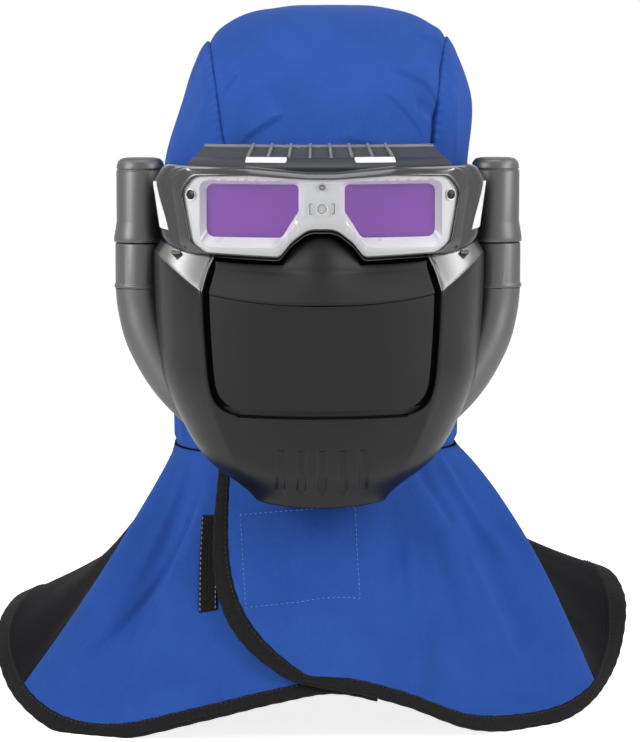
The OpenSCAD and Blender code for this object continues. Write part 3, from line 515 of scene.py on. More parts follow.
def coated_glass_finish(name, rgb):
    """Purple filter glass with a mirror-like coat and a faint change of tone from its foot to its top."""
    foot, top = 0.335, 0.378
    made, tree, shader = new_finish(name)
    place = node(tree, "ShaderNodeTexCoord").outputs["Object"]
    cloud = noise_node(tree, place, 9.0, 1.0)
    height = node(tree, "ShaderNodeSeparateXYZ", {0: place}).outputs["Z"]
    tone = weighted(tree, spread(tree, height, 0.0, 1.0, foot, top), 0.6, cloud, 0.4)
    low = (rgb[0] * 1.12, rgb[1] * 0.95, rgb[2] * 1.04, 1)
    inputs = {
        "Base Color": two_tone(tree, tone, low, shade_of(rgb, 0.93)),
        "Roughness": spread(tree, cloud, 0.10, 0.16),
        "Metallic": 0.25,
        "Coat Weight": 0.6,
        "Coat Roughness": 0.04,
    }
    set_inputs(tree, shader, inputs)
    return made


# Forms of the hood and bib in millimetres, as in the solids but for the lapped edge and the hook strip


HOOD_HALF_W, HOOD_HALF_D, HOOD_Y = 107.0, 112.0, 5.0
CROWN_H, EAR_Z = 164.0, 330.0
HOOD_POWER, CROWN_POWER = 2.5, 3.5
BROW_ANGLE, SEAM_S = 30.0, 0.42
CROWN_LEAN, LEAN_FROM, LEAN_OVER = 9.0, 46.0, 60.0
NECK_Z, NECK_HALF_W, NECK_HALF_D, NECK_OPEN = 186.0, 100.0, 79.0, 46.0
TAPE_W, TAPE_T = 11.0, 4.0
SIDE_SEAM, BACK_SEAM, LAP_UNDER = 0.225, 0.36, 0.03
LAP = 5.2
HEM_V = 0.005 * TAPE_W
TAPE_U = 0.0014 * TAPE_W
STRAP_Z, STRAP_W, STRAP_T = 365.0, 22.0, 2.0
STRAP_OFF, STRAP_FROM, BUCKLE_HALF_W = 0.6, -30.3, 16
HOOK_TOP, HOOK_LOW = 0.24, 0.60
FRONT_TOP, FRONT_RUN, FRONT_POWER = -0.10, 0.08, 3.2
SEAM_DIP, SEAM_WIDE = 2.2, 0.035
EAR_FROM, EAR_OVER = 0.9, 0.05

# Folds of the crown: place across, angle from the front, widths of both, height
CROWN_FOLDS = [
    (-0.52, 52, 0.05, 22, 2.5),
    (-0.30, 34, 0.09, 9, -2.0),
    (0.36, 44, 0.05, 12, -4.0),
    (0.30, 36, 0.09, 9, 3.0),
    (0.50, 60, 0.06, 20, 3.0),
    (-0.42, 72, 0.06, 12, 3.5),
    (0.42, 78, 0.06, 12, 4.0),
]

# Hem of the bib from the front middle round the wearer's left: x, y, z, power of the flare
HEM = [
    (10, -152, 36, 1.2),
    (52, -146, 25, 1.2),
    (99, -128, 5, 1.1),
    (140, -102, -1, 1.0),
    (175, -78, 2, 0.85),
    (200, -48, 14, 0.85),
    (219, -8, 36, 1.6),
    (227, 34, 68, 2.4),
    (213, 82, 80, 2.2),
    (170, 122, 46, 1.6),
    (95, 153, 4, 1.2),
    (0, 165, -1, 1.2),
    (-95, 153, 4, 1.2),
    (-165, 122, 38, 1.6),
    (-207, 78, 64, 2.2),
    (-223, 26, 62, 2.2),
    (-226.4, -22, 44, 1.6),
    (-212, -66, 18, 1.1),
    (-180, -102, 0, 1.1),
    (-138, -122, -1, 1.2),
    (-80, -143, 16, 1.2),
    (-30, -152, 30, 1.2),
]

# Folds of the bib: place round the hem in turns, width, height
BIB_FOLDS = [
    (0.11, 0.02, 5),
    (0.165, 0.018, -4),
    (0.06, 0.02, -3),
    (0.215, 0.016, 6),
    (0.25, 0.016, -7),
    (0.80, 0.016, 5),
    (0.76, 0.016, -6),
    (0.84, 0.02, -5),
    (0.88, 0.02, 5),
    (0.42, 0.02, 6),
    (0.46, 0.02, -5),
    (0.54, 0.02, -5),
    (0.58, 0.02, 6),
]

# Seams of the crown as they are drawn by the folds: angle from the front, place across on the right and left
SEAM_LINE = [
    (20, 0.33, 0.40),
    (39, 0.335, 0.395),
    (48, 0.375, 0.362),
    (56, 0.40, 0.362),
    (65, 0.418, 0.372),
    (75, 0.43, 0.405),
    (90, 0.44, 0.44),
    (110, 0.43, 0.43),
    (180, 0.42, 0.42),
]


def seam_at(s, a):
    """Distance of a seam from the crown's middle at an angle from the front."""
    angle, right, left = np.transpose(SEAM_LINE)
    return np.where(s < 0, np.interp(a, angle, right), np.interp(a, angle, left))


def fold_line(x, y, scale, start, stop, wide, height, steep=0.0):
    """Height of a fold along a line: a ridge that fades at both ends or, with steep, a step facing down."""
    ax, ay = scale[0] * start[0], scale[1] * start[1]
    dx, dy = scale[0] * stop[0] - ax, scale[1] * stop[1] - ay
    x, y = scale[0] * x - ax, scale[1] * y - ay
    long = math.hypot(dx, dy)
    along = (x * dx + y * dy) / long**2
    off = (y * dx - x * dy) / long
    fade = ease(along / 0.3 + 0.5) * ease((1 - along) / 0.3 + 0.5)
    ridge = bump(off, 0, wide)
    step = ease(off / wide + 0.5) * bump(np.maximum(off, 0), 0, 5 * wide)
    return height * fade * mix(ridge, step, steep)


def crown_point(s, a, extra=0.0):
    """Point of the crown at s across the arch and a degrees from the front; extra lifts it off."""
    turn = np.radians(a)
    reach = 1 / np.hypot(np.cos(turn) / HOOD_HALF_D, np.sin(turn) / CROWN_H)
    power = mix(HOOD_POWER, CROWN_POWER, np.sin(turn) ** 2)
    across = spow(np.sin(np.pi / 2 * s), 2 / power)
    over = np.maximum(0, np.cos(np.pi / 2 * s)) ** (2 / power)
    fold = -SEAM_DIP * bump(np.abs(s), seam_at(s, a), SEAM_WIDE)
    for at, angle, wide, deep, height in CROWN_FOLDS:
        fold = fold + height * bump(s, at, wide) * bump(a, angle, deep)
    fold = fold * (1 - ease((np.abs(s) - EAR_FROM) / EAR_OVER))
    out = reach * over + fold + extra
    up = out * np.sin(turn)
    lean = CROWN_LEAN * ease((up - LEAN_FROM) / LEAN_OVER)
    return np.stack([HOOD_HALF_W * across + lean, HOOD_Y - out * np.cos(turn), EAR_Z + up], axis=-1)


def brow_edge(s):
    """Angle from the front at which the crown's front edge lies."""
    return BROW_ANGLE * (1 - ease((np.abs(s) - 0.5) / 0.45))


def hood_plan(a, half_w, half_d):
    """x and y of the hood's plan, a degrees round from the wearer's left to the back."""
    turn = np.radians(a)
    x = half_w * spow(np.cos(turn), 2 / HOOD_POWER)
    return x, HOOD_Y + half_d * spow(np.sin(turn), 2 / HOOD_POWER)


def neck_point(a, t, inset):
    """Point of the neck at a degrees round and t down to the bib's seam."""
    w = mix(HOOD_HALF_W, NECK_HALF_W, ease(t)) - inset
    d = mix(HOOD_HALF_D, NECK_HALF_D, ease(t)) - inset
    return np.stack([*hood_plan(a, w, d), mix(EAR_Z - 0.3, NECK_Z + 0.3, t) + 0 * a], axis=-1)


def bib_point(u, v):
    """Point of the bib at u turns round from the front and v down from the neck seam to the hem."""
    turn = 2 * np.pi * u
    nx = NECK_HALF_W * spow(np.sin(turn), 2 / HOOD_POWER)
    ny = HOOD_Y - NECK_HALF_D * spow(np.cos(turn), 2 / HOOD_POWER)
    row = spline(HEM, np.mod(u, 1) * len(HEM), True)
    k = np.maximum(v, 0) ** row[..., 3]
    fold = 0
    for at, wide, height in BIB_FOLDS:
        fold = fold + height * bump(np.mod(u, 1), at, wide)
    fold = fold * np.sin(np.pi * v)
    push = unit(np.stack([row[..., 0], row[..., 1], 60 + 0 * u], axis=-1))
    flat = np.stack([mix(nx, row[..., 0], k), mix(ny, row[..., 1], k), mix(NECK_Z, row[..., 2], v)], axis=-1)
    return flat + fold[..., None] * push


def bib_normal(u, v):
    """Outward normal of the bib."""
    e = 0.004
    w = np.clip(v, e, 1 - e)
    sideways = bib_point(u + e, w) - bib_point(u - e, w)
    upwards = bib_point(u, w - e) - bib_point(u, w + e)
    return unit(np.cross(sideways, upwards))


def bib_at(u, v, off):
    """Point off the bib's face, not below the ground."""
    p = bib_point(u, v) + bib_normal(u, v) * np.asarray(off)[..., None]
    p[..., 2] = np.maximum(p[..., 2], 0.0)
    return p


def lapped(u):
    """How far the left front stands off where it laps over the right one."""
    margin = 0.01
    return LAP * (1 - ease((u - LAP_UNDER - margin) / (SIDE_SEAM - LAP_UNDER - 2 * margin)))


def front_edge(v):
    """Turns of the left front's edge, which runs across as it goes down."""
    return FRONT_TOP + FRONT_RUN * v**FRONT_POWER


def strap_point(a, off):
    """Point of the head strap's line round the hood, in plan."""
    half_d = HOOD_HALF_D * math.sqrt(1 - ((STRAP_Z - STRAP_W / 2 - EAR_Z) / CROWN_H) ** 2)
    return np.stack(hood_plan(a, HOOD_HALF_W + STRAP_OFF + off, half_d + off), axis=-1)


# Forms of the goggles, mask and ducts in millimetres, as in the solids but for the mask's edge and panel


GOGGLE_R, GOGGLE_Y, GOGGLE_Z = 175.0, 25.0, 357.0
BEZEL_HALF_W, BEZEL_HALF_H = 92.0, 27.0
FRAME_HALF_W, FRAME_RIM, FRAME_LOW, FRAME_IN_R, LIP = 112.0, 10.5, 3.5, 158.0, 3.0
FRAME_WIDEN = FRAME_HALF_W - BEZEL_HALF_W - FRAME_RIM
SEAT = 0.3
OUTLINE_RADII = (60, 60, 9, 9, 9, 9, 5, 20, 14)
SENSOR_X, SENSOR_UP, SENSOR_R = 86.0, 10.5, 3.3
LAMP_UP, LAMP_R, SCREW_UP, SCREW_PROUD = 2.0, 3.2, 16.0, 1.65
WINDOW_GAP, WINDOW_W, WINDOW_H, WINDOW_TOP = 31.0, 60.0, 34.0, 17.5
BROW_Z, BROW_R = GOGGLE_Z + BEZEL_HALF_H - 2.5, FRAME_IN_R - SEAT
BROW_T, BROW_SLOPE, BROW_HALF_ANGLE = 2.5, 15.0 / 24.0, 35.0
LUG_X, LUG_T, LUG_HALF_H, LUG_FRONT = 101.3, 2.5, 8.0, -110
PIN_Y, PIN_R, PIN_LEN, PIN_SUNK = -84.0, 3.0, 5.0, 0.5

MASK_HALF_W, MASK_FRONT, MASK_TOP_Z, MASK_H, MASK_WALL = 112.0, 166.0, 320.0, 157.0, 3.0
PANEL_RECESS, PANEL_T, BAND_STEP, NOSE_H, NOSE_HALF_W = 5.0, 3.2, 1.6, 22.0, 26.0
RECESS_F, EDGE_F, RECESS_BOTTOM, STEP, EDGE_T = 0.70, 0.668, 0.61, 0.012, 0.024
TURN_F, TURN_T, STRAIGHT_T = 0.13, 0.085, 0.11
BAND_MID, BAND_END, FACET_END, FACET_F = 0.15, 0.115, 0.015, 0.97
ROW_T, FACET_FROM, ARCH_MIN = 0.1, 0.709, 4.0
CORNER_RISE, CORNER_FROM, CORNER_OVER = 0.03, 0.6, 0.2
PANEL_OVERLAP, BAND_TOP = 0.004, 0.012
SLOPE_BACK, CREASE_SOFT = 0.8, 0.008
CHEEK_UP, CHIN_DROP = 10, 4
GROOVE_W, GROOVE_H, GROOVE_PITCH, GROOVE_COUNT = 6.0, 31.0, 13.7, 5
GROOVE_TOP, GROOVE_DEPTH = 0.745, 1.6

# Half width, front and rear edge of the mask, from its upper edge to the chin
MASK_ROWS = [
    (MASK_HALF_W, MASK_FRONT - 1, 88.5),
    (MASK_HALF_W - 0.5, MASK_FRONT, 88.2),
    (MASK_HALF_W - 2.5, MASK_FRONT, 91),
    (MASK_HALF_W - 6.5, MASK_FRONT, 98),
    (MASK_HALF_W - 18, MASK_FRONT - 1, 104),
    (MASK_HALF_W - 35.5, MASK_FRONT - 8, 110),
    (MASK_HALF_W - 68, MASK_FRONT - 24, 120),
]

# Route of a lower duct from sleeve to cheek: x inwards, y forwards, z down, change of radius
DUCT_X, DUCT_FRONT, SLEEVE_R, SLEEVE_LOW, DUCT_WALL = 121.0, 70.0, 17.5, 301.7, 2.0
DUCT_ROUTE = [
    (0, 0, SEAT, 0),
    (-1.5, -1, 14, 0),
    (-6, -4.5, 32, -0.2),
    (-15, -10, 51, -1),
    (-26, -16, 67, -2),
    (-40, -22, 82, -3.5),
]


def half_outline(grown, widened):
    """Corners of half the bezel's outline, grown most beside and least below, then widened at the sides."""
    h, w = BEZEL_HALF_H, BEZEL_HALF_W + grown + widened
    middle, brow, end, under = (
        share * grown if grown > 0 else grown for share in (0.48, 0.57, 0.7, FRAME_LOW / FRAME_RIM)
    )
    low = h + 2.5 + under
    return [
        (9, h - 6 + middle),
        (48, h - 3.5 + brow),
        (w - 8, h - 4.5 + end),
        (w, h - 14.5 + end),
        (w - 6, 9 - low + widened / 3),
        (w - 15 - widened, 2.2 - low + widened / 7),
        (28, -low),
        (20, 10 - low),
        (9, 18.3 - low),
    ]


def rounded_loop(corners, radii):
    """Closed row of points round a polygon with round corners; like polygons get matching points."""
    steps, between = 8, 8
    corners = np.asarray(corners, float)
    arcs = []
    for p, a, b, r in zip(corners, np.roll(corners, 1, axis=0), np.roll(corners, -1, axis=0), radii):
        u, w = unit(a - p), unit(b - p)
        half = math.acos(max(-1, min(1, float(u @ w)))) / 2
        middle = p + unit(u + w) * r / math.sin(half)
        first, last = p + u * r / math.tan(half) - middle, p + w * r / math.tan(half) - middle
        t = np.linspace(0, 1, steps + 1)[:, None]
        arcs.append(middle + unit(mix(first, last, t)) * r)
    loop = []
    for arc, after in zip(arcs, arcs[1:] + arcs[:1]):
        t = np.linspace(0, 1, between + 1)[1:-1, None]
        loop += [arc, mix(arc[-1], after[0], t)]
    return np.concatenate(loop)


def outline(grown, widened=0.0):
    """Closed outline of the bezel in front view, grown and widened."""
    half = half_outline(grown, widened)
    whole = half + [(-x, z) for x, z in half[::-1]]
    return rounded_loop(whole, OUTLINE_RADII + OUTLINE_RADII[::-1])


def wrapped(xz, r):
    """Points of a front view laid on the goggles' cylinder of radius r."""
    x, z = xz[..., 0], xz[..., 1]
    return np.stack([x, GOGGLE_Y - np.sqrt(r * r - x * x), GOGGLE_Z + z], axis=-1)


def mask_row(t):
    """Half width, front and rear edge of the mask at a height."""
    return spline(MASK_ROWS, np.clip(t, 0, 1) * (len(MASK_ROWS) - 1), False)


def mask_section(f, t):
    """Section of the mask at a height: 1 at the front's middle, 0 at the rear edge."""
    power, crease, bow, soft = 2.4, 0.72, 0.43, 0.03
    g = np.abs(f)
    even = np.maximum(0, 1 - g**power) ** (1 / power)
    cheek = (1 - bow * crease * crease) * np.sqrt(np.maximum(0, (1 - g) / (1 - crease)))
    creased = mix(1 - bow * g * g, cheek, ease((g - crease + soft) / (2 * soft)))
    return mix(creased, even, ease((t - 0.6) / 0.35))


def mask_point(f, t):
    """Point of the mask's face at f across and t down from its upper edge."""
    row = mask_row(t)
    y = -row[..., 2] - (row[..., 1] - row[..., 2]) * mask_section(f, t)
    z = MASK_TOP_Z - MASK_H * t + CHEEK_UP * f**4 * (1 - t) ** 2 - CHIN_DROP * (1 - f * f) * t * t
    return np.stack([row[..., 0] * f, y, z], axis=-1)


def mask_normal(f, t):
    """Outward normal of the mask's face."""
    e = 0.01
    g, s = np.clip(f, -0.95, 0.95), np.clip(t, e, 1 - e)
    sideways = mask_point(g + e, s) - mask_point(g - e, s)
    upwards = mask_point(g, s - e) - mask_point(g, s + e)
    return unit(np.cross(sideways, upwards))


def slope_line(f):
    """Height at which the mask's upper edge begins to slope back."""
    g = np.abs(f)
    facet = mix(BAND_END, FACET_END, np.minimum(1, (g - RECESS_F) / (FACET_F - RECESS_F)))
    return np.where(g < RECESS_F, mix(BAND_MID, BAND_END, (g / RECESS_F) ** 2), facet)


def mask_at(f, t, off):
    """Point off the mask's face, which slopes back under the goggles with a softly rounded crease."""
    past = slope_line(f) - t
    past = (past + np.sqrt(past * past + CREASE_SOFT**2)) / 2
    back = SLOPE_BACK * MASK_H * past * (1 - 0.5 * bump(f, 0, 0.2))
    return mask_point(f, t) + mask_normal(f, t) * (np.asarray(off) - back)[..., None]


def turned(f, t):
    """Columns bend inwards round the recess's lower corners and come straight again below it."""
    into = np.clip((t - RECESS_BOTTOM + TURN_T) / TURN_T, 0, 1)
    past = ease((t - RECESS_BOTTOM - STEP) / STRAIGHT_T)
    bend = TURN_F * (1 - np.sqrt(1 - into * into)) * (1 - past)
    g = np.abs(f)
    outside = f - np.sign(f) * bend * (1 - g) / (1 - RECESS_F)
    return np.where(g > RECESS_F + STEP, outside, f * (1 - bend / RECESS_F))


def duct_mid(t):
    """Middle of the left lower duct from sleeve to cheek, and how its radius differs there."""
    p = spline(DUCT_ROUTE, t * (len(DUCT_ROUTE) - 1), False)
    return np.stack([DUCT_X + p[..., 0], p[..., 1] - DUCT_FRONT, SLEEVE_LOW - p[..., 2]], axis=-1), p[..., 3]


# Cloth of the hood and bib


def cloth_sheet(name, p, outside, lining, thickness, flip=False):
    """One thick sheet of cloth from a grid of points in millimetres, lined on its inner side."""
    piece = grid_mesh(name, p * MM, flip=flip)
    finish_of(piece, outside, lining)
    thicken(piece, thickness).material_offset = 1
    return piece


def crease_noise(p, strength, size=34.0):
    """Small uneven waves of worn cloth, in millimetres."""
    wide = noise3(p, size, 3) * 0.9
    small = noise3(p, size * 0.42, 8) * 0.35
    return strength * (wide + small)


class HEADUNIT_OT_crown(bpy.types.Operator):
    """Crown of the hood: one continuous cloth with two seams, drawn folds and fine creases"""

    bl_idname = "headunit.crown"
    bl_label = "Hood crown"

    def execute(self, context):
        hood = context.scene.hood_settings
        made = finishes()
        cloth, lining = made["blue_cloth"], made["black_cloth"]
        rows = np.concatenate([np.linspace(0, 0.5, 130), np.linspace(0.5, 1, 80)[1:]])
        column, k = grid(crown_columns(), rows)
        a = mix(brow_edge(column), 180, k)
        s = column + np.sign(column) * (seam_at(column, a) - SEAM_S) * bump(np.abs(column), SEAM_S, 0.16)
        p = crown_point(s, a, crown_creases(s, a, hood.crease))
        piece = cloth_sheet("hood_crown", p, cloth, lining, hood.cloth)
        weld(piece.data)
        settle(piece, "blue_cloth", "crown_centre", "crown_side_left", "crown_side_right")
        sheet_of(p * MM)
        return {"FINISHED"}


def crown_columns():
    """Columns across the arch, closer together at the seams and towards the ears."""
    return both_sides(runs((0, 0.37, 60), (0.376, 0.47, 32), (0.48, 0.9, 44), (0.92, 1, 14)))


# Millimetres of cloth for one unit across and one degree of the crown
CROWN_SCALE = (165, 2.3)
# Drawn folds of the crown: start and end, each across and angle from the front; width, height, steepness
CROWN_CREASES = [
    ((0.15, 57.5), (0.37, 54.0), 3.4, 3.4, 1.0),
    ((0.25, 49.0), (0.37, 50.5), 5.0, -2.6, 0.0),
    ((0.12, 50.0), (0.33, 40.0), 2.2, 1.5, 1.0),
    ((0.24, 71.5), (0.41, 74.0), 3.2, 2.4, 1.0),
    ((-0.38, 55.0), (-0.28, 59.0), 3.4, 2.4, 1.0),
    ((-0.25, 37.5), (-0.11, 43.0), 3.6, 2.8, 1.0),
    ((-0.30, 47.0), (-0.12, 55.0), 6.0, 1.2, 0.0),
    ((0.02, 36.0), (0.20, 33.0), 4.0, 1.2, 1.0),
    ((0.46, 60.0), (0.62, 44.0), 6.0, 1.6, 0.0),
    ((0.48, 84.0), (0.66, 70.0), 6.0, 1.6, 0.0),
    ((-0.46, 62.0), (-0.60, 46.0), 6.0, 1.4, 0.0),
    ((-0.48, 90.0), (-0.64, 76.0), 6.0, 1.5, 0.0),
    ((0.05, 112.0), (0.36, 124.0), 8.0, 1.8, 0.0),
    ((-0.06, 136.0), (-0.38, 126.0), 8.0, 1.8, 0.0),
    ((0.20, 148.0), (0.46, 138.0), 7.0, 1.7, 0.0),
    ((-0.30, 152.0), (-0.56, 140.0), 7.0, 1.7, 0.0),
    ((0.10, 92.0), (-0.24, 100.0), 9.0, 1.2, 0.0),
]


# Crown seams in millimetres: height of the puckers, depth of the groove, height of the roll beside it
PUCKER_H, SEAM_GROOVE, SEAM_ROLL = 0.5, 1.3, 1.0


def crown_creases(s, a, strength):
    """Creases of the crown: a sharp seam line with puckers, drawn folds and wide soft waves."""
    side = np.abs(s) - seam_at(s, a)
    ripple = np.sin(a * 1.9 + 3 * np.sin(a * 0.11))
    pucker = PUCKER_H * bump(side, 0.025, 0.03) * ripple
    groove = SEAM_GROOVE * bump(side, 0, 0.008)
    roll = SEAM_ROLL * bump(side, 0.022, 0.018)
    total = pucker - groove + roll
    for crease in CROWN_CREASES:
        total = total + fold_line(s, a, CROWN_SCALE, *crease)
    flat = crown_point(s, a)
    calm = 1 - ease((np.abs(s) - 0.86) / 0.12)
    return strength * (total + crease_noise(flat, 0.9)) * calm


# Neck: gathers in a full turn, then their height and the slack cloth's roll and dip in millimetres
GATHERS, GATHER_H = 26, 0.8
NECK_ROLL, NECK_DIP = 1.3, 1.2


class HEADUNIT_OT_neck(bpy.types.Operator):
    """Neck of the hood: gathered into the bib's seam and open towards the face"""

    bl_idname = "headunit.neck"
    bl_label = "Hood neck"

    def execute(self, context):
        hood = context.scene.hood_settings
        a, t = grid(np.linspace(-NECK_OPEN, 180 + NECK_OPEN, 220), np.linspace(0, 1, 70))
        p = neck_point(a, t, 1.4 * ease((t - 0.95) / 0.04))
        n = unit(np.stack([p[..., 0], p[..., 1] - HOOD_Y, 0 * a], axis=-1))
        gathers = GATHER_H * np.sin(np.radians(a) * GATHERS + 2 * noise3(p, 30.0, 5)) * ease((t - 0.55) / 0.4)
        slack = NECK_ROLL * bump(t, 0.55, 0.10) - NECK_DIP * bump(t, 0.72, 0.06) + crease_noise(p, 0.8)
        edge = ease(t / 0.06) * ease((1 - t) / 0.05)
        p = p + n * (hood.crease * (gathers + slack) * edge)[..., None]
        made = finishes()
        cloth, lining = made["blue_cloth"], made["black_cloth"]
        piece = cloth_sheet("hood_neck_cloth", p, cloth, lining, hood.cloth, flip=True)
        settle(piece, "blue_cloth", "hood_neck")
        sheet_of(p * MM)
        return {"FINISHED"}


# Millimetres of cloth for one turn round and the whole height of the bib
BIB_SCALE = (800, 190)
# Drawn folds of the bib: start and end, each in turns and height; width and height
BIB_CREASES = [
    ((-0.165, 0.10), (-0.185, 0.62), 7.0, 2.2),
    ((-0.125, 0.20), (-0.178, 0.70), 4.0, -3.2),
    ((-0.118, 0.33), (-0.165, 0.85), 6.0, 2.2),
    ((-0.13, 0.80), (-0.10, 0.88), 5.0, -1.8),
    ((0.139, 0.04), (0.185, 0.40), 7.0, 3.0),
    ((0.10, 0.06), (0.125, 0.26), 7.0, -3.2),
    ((0.073, 0.36), (0.061, 0.90), 5.0, 2.8),
    ((0.050, 0.40), (0.040, 0.80), 7.0, -1.4),
    ((0.097, 0.34), (0.101, 0.68), 5.0, -2.6),
    ((0.133, 0.38), (0.151, 0.82), 8.0, 1.8),
    ((0.12, 0.885), (0.17, 0.935), 5.0, -1.8),
    ((0.42, 0.20), (0.44, 0.80), 8.0, 2.4),
    ((0.50, 0.30), (0.49, 0.85), 8.0, -2.4),
    ((0.57, 0.25), (0.555, 0.85), 8.0, 2.4),
]


def bib_folds(u, v):
    """Height of the bib's drawn folds; those at the back count turns from 0, the others from both sides."""
    turn = np.mod(u + 0.5, 1) - 0.5
    total = 0
    for start, stop, wide, height in BIB_CREASES:
        at = np.where(stop[0] > 0.3, np.mod(u, 1), turn)
        total = total + fold_line(at, v, BIB_SCALE, start, stop, wide, height)
    return total


def bib_cloth(name, p, n, folds, outside, hood):
    """One panel of the bib with its folds and small creases, from points and normals in millimetres."""
    edge = 0.06
    waves = hood.crease * (folds + crease_noise(p, 0.8, 40.0))
    rows = np.arange(p.shape[0])[:, None] / (p.shape[0] - 1)
    cols = np.arange(p.shape[1])[None, :] / (p.shape[1] - 1)
    calm = ease(np.minimum(rows, 1 - rows) / edge) * ease(np.minimum(cols, 1 - cols) / edge)
    p = p + n * (waves * calm)[..., None]
    return cloth_sheet(name, p, outside, finishes()["black_cloth"], hood.cloth, flip=True), p


# Panels of the bib: cloth, solid, turns from where to where, finish, columns; one starts at the lapped edge
BIB_PANELS = (
    ("bib_left_cloth", "bib_front_left", None, SIDE_SEAM, "blue_cloth", 110),
    ("bib_right_cloth", "bib_front_right", 1 - SIDE_SEAM, 1 + LAP_UNDER, "blue_cloth", 110),
    ("gusset_left_cloth", "bib_gusset_left", SIDE_SEAM, BACK_SEAM, "black_cloth", 60),
    ("gusset_right_cloth", "bib_gusset_right", 1 - BACK_SEAM, 1 - SIDE_SEAM, "black_cloth", 60),
    ("bib_back_cloth", "bib_back", BACK_SEAM, 1 - BACK_SEAM, "blue_cloth", 130),
)


class HEADUNIT_OT_bib(bpy.types.Operator):
    """Bib: two lapped fronts, two black gussets and the back, each one sheet"""

    bl_idname = "headunit.bib"
    bl_label = "Bib"

    def execute(self, context):
        hood = context.scene.hood_settings
        made = finishes()
        low = 1 - 0.5 * HEM_V
        for name, node_name, start, stop, outside, cols in BIB_PANELS:
            k, v = grid(np.linspace(0, 1, cols), np.linspace(0.002, low, 90))
            laps = start is None
            u = mix(front_edge(v) + 0.5 * TAPE_U if laps else start, stop, k)
            p = bib_at(u, v, lapped(u) if laps else 0 * u)
            piece, p = bib_cloth(name, p, bib_normal(u, v), bib_folds(u, v), made[outside], hood)
            settle(piece, outside, node_name)
            sheet_of(p * MM)
        return {"FINISHED"}


# Tape, straps, seal and stitches


def tube_mesh(name, rings, uv_width, closed=False):
    """Closed tube through rings of points in metres, capped at both ends unless the rings close up."""
    count, sides = rings.shape[:2]
    ids = np.arange(count * sides).reshape(count, sides)
    ahead = np.roll(ids, -1, axis=0)
    corners = [ids, np.roll(ids, -1, axis=1), np.roll(ahead, -1, axis=1), ahead]
    last = count if closed else count - 1
    faces = np.stack(corners, axis=2)[:last].reshape(-1, 4).tolist()
    if not closed:
        faces += [ids[0][::-1].tolist(), ids[-1].tolist()]
    mesh = bpy.data.meshes.new(name)
    mesh.from_pydata(rings.reshape(-1, 3).tolist(), [], faces)
    mids = rings.mean(1)
    steps = np.linalg.norm(np.roll(mids, -1, axis=0) - mids, axis=1)
    along = np.concatenate([[0], np.cumsum(steps)])
    layer = mesh.uv_layers.new(name="cloth")
    shade_smooth(mesh)
    for face in mesh.polygons:
        for corner in face.loop_indices:
            at = mesh.loops[corner].vertex_index
            layer.data[corner].uv = (along[at // sides], uv_width * (at % sides) / sides)
    mesh.update()
    return link(name, mesh)


def rounded_section(centre, across, normal, half_w, half_t, sides=20, power=0.5):
    """Ring of a flat rounded section at each station of a path."""
    turn = np.linspace(0, 2 * np.pi, sides, endpoint=False)
    c = spow(np.cos(turn), power)[None, :, None]
    s = spow(np.sin(turn), power)[None, :, None]
    wide = (across * np.asarray(half_w).reshape(-1, 1))[:, None, :]
    thick = (normal * np.asarray(half_t).reshape(-1, 1))[:, None, :]
    return centre[:, None, :] + wide * c + thick * s


def bib_tape(name, outer, inner, lift):
    """Tape folded over the bib's edge, from places of its outer and inner edges in turns and height."""
    over = 0.8
    a = bib_at(outer[:, 0], outer[:, 1], lift(outer[:, 0]))
    b = bib_at(inner[:, 0], inner[:, 1], lift(inner[:, 0]))
    n = bib_normal((outer[:, 0] + inner[:, 0]) / 2, (outer[:, 1] + inner[:, 1]) / 2)
    half = np.linalg.norm(a - b, axis=1) / 2
    wave = 1 + 0.03 * np.sin(np.arange(len(a)) * 0.9)
    rings = rounded_section((a + b) / 2 + n * (over - TAPE_T / 2), unit(a - b), n, half * wave, TAPE_T / 2)
    rings[..., 2] = np.maximum(rings[..., 2], 0.02)
    return tube_mesh(name, rings * MM, 2 * TAPE_W * MM)


def hem_pairs(us):
    """Places of the tape's outer and inner edges along the hem."""
    us = np.asarray(us)
    return np.stack([us, 1 + 0 * us], 1), np.stack([us, 1 - HEM_V + 0 * us], 1)


def hook_place(k, v):
    """Turns of the hook strip across its width, which stays even although the bib flares."""
    edge, lean, wide, flare = 0.904, 0.02, 0.022, 1.2
    return edge + lean * (v - HOOK_TOP) - wide / (1 + flare * v) * (1 - k)


def smooth_rows(rows, passes):
    """Evens out a row of places, with its ends kept."""
    for _ in range(passes):
        rows[1:-1] = (rows[:-2] + 2 * rows[1:-1] + rows[2:]) / 4
    return rows


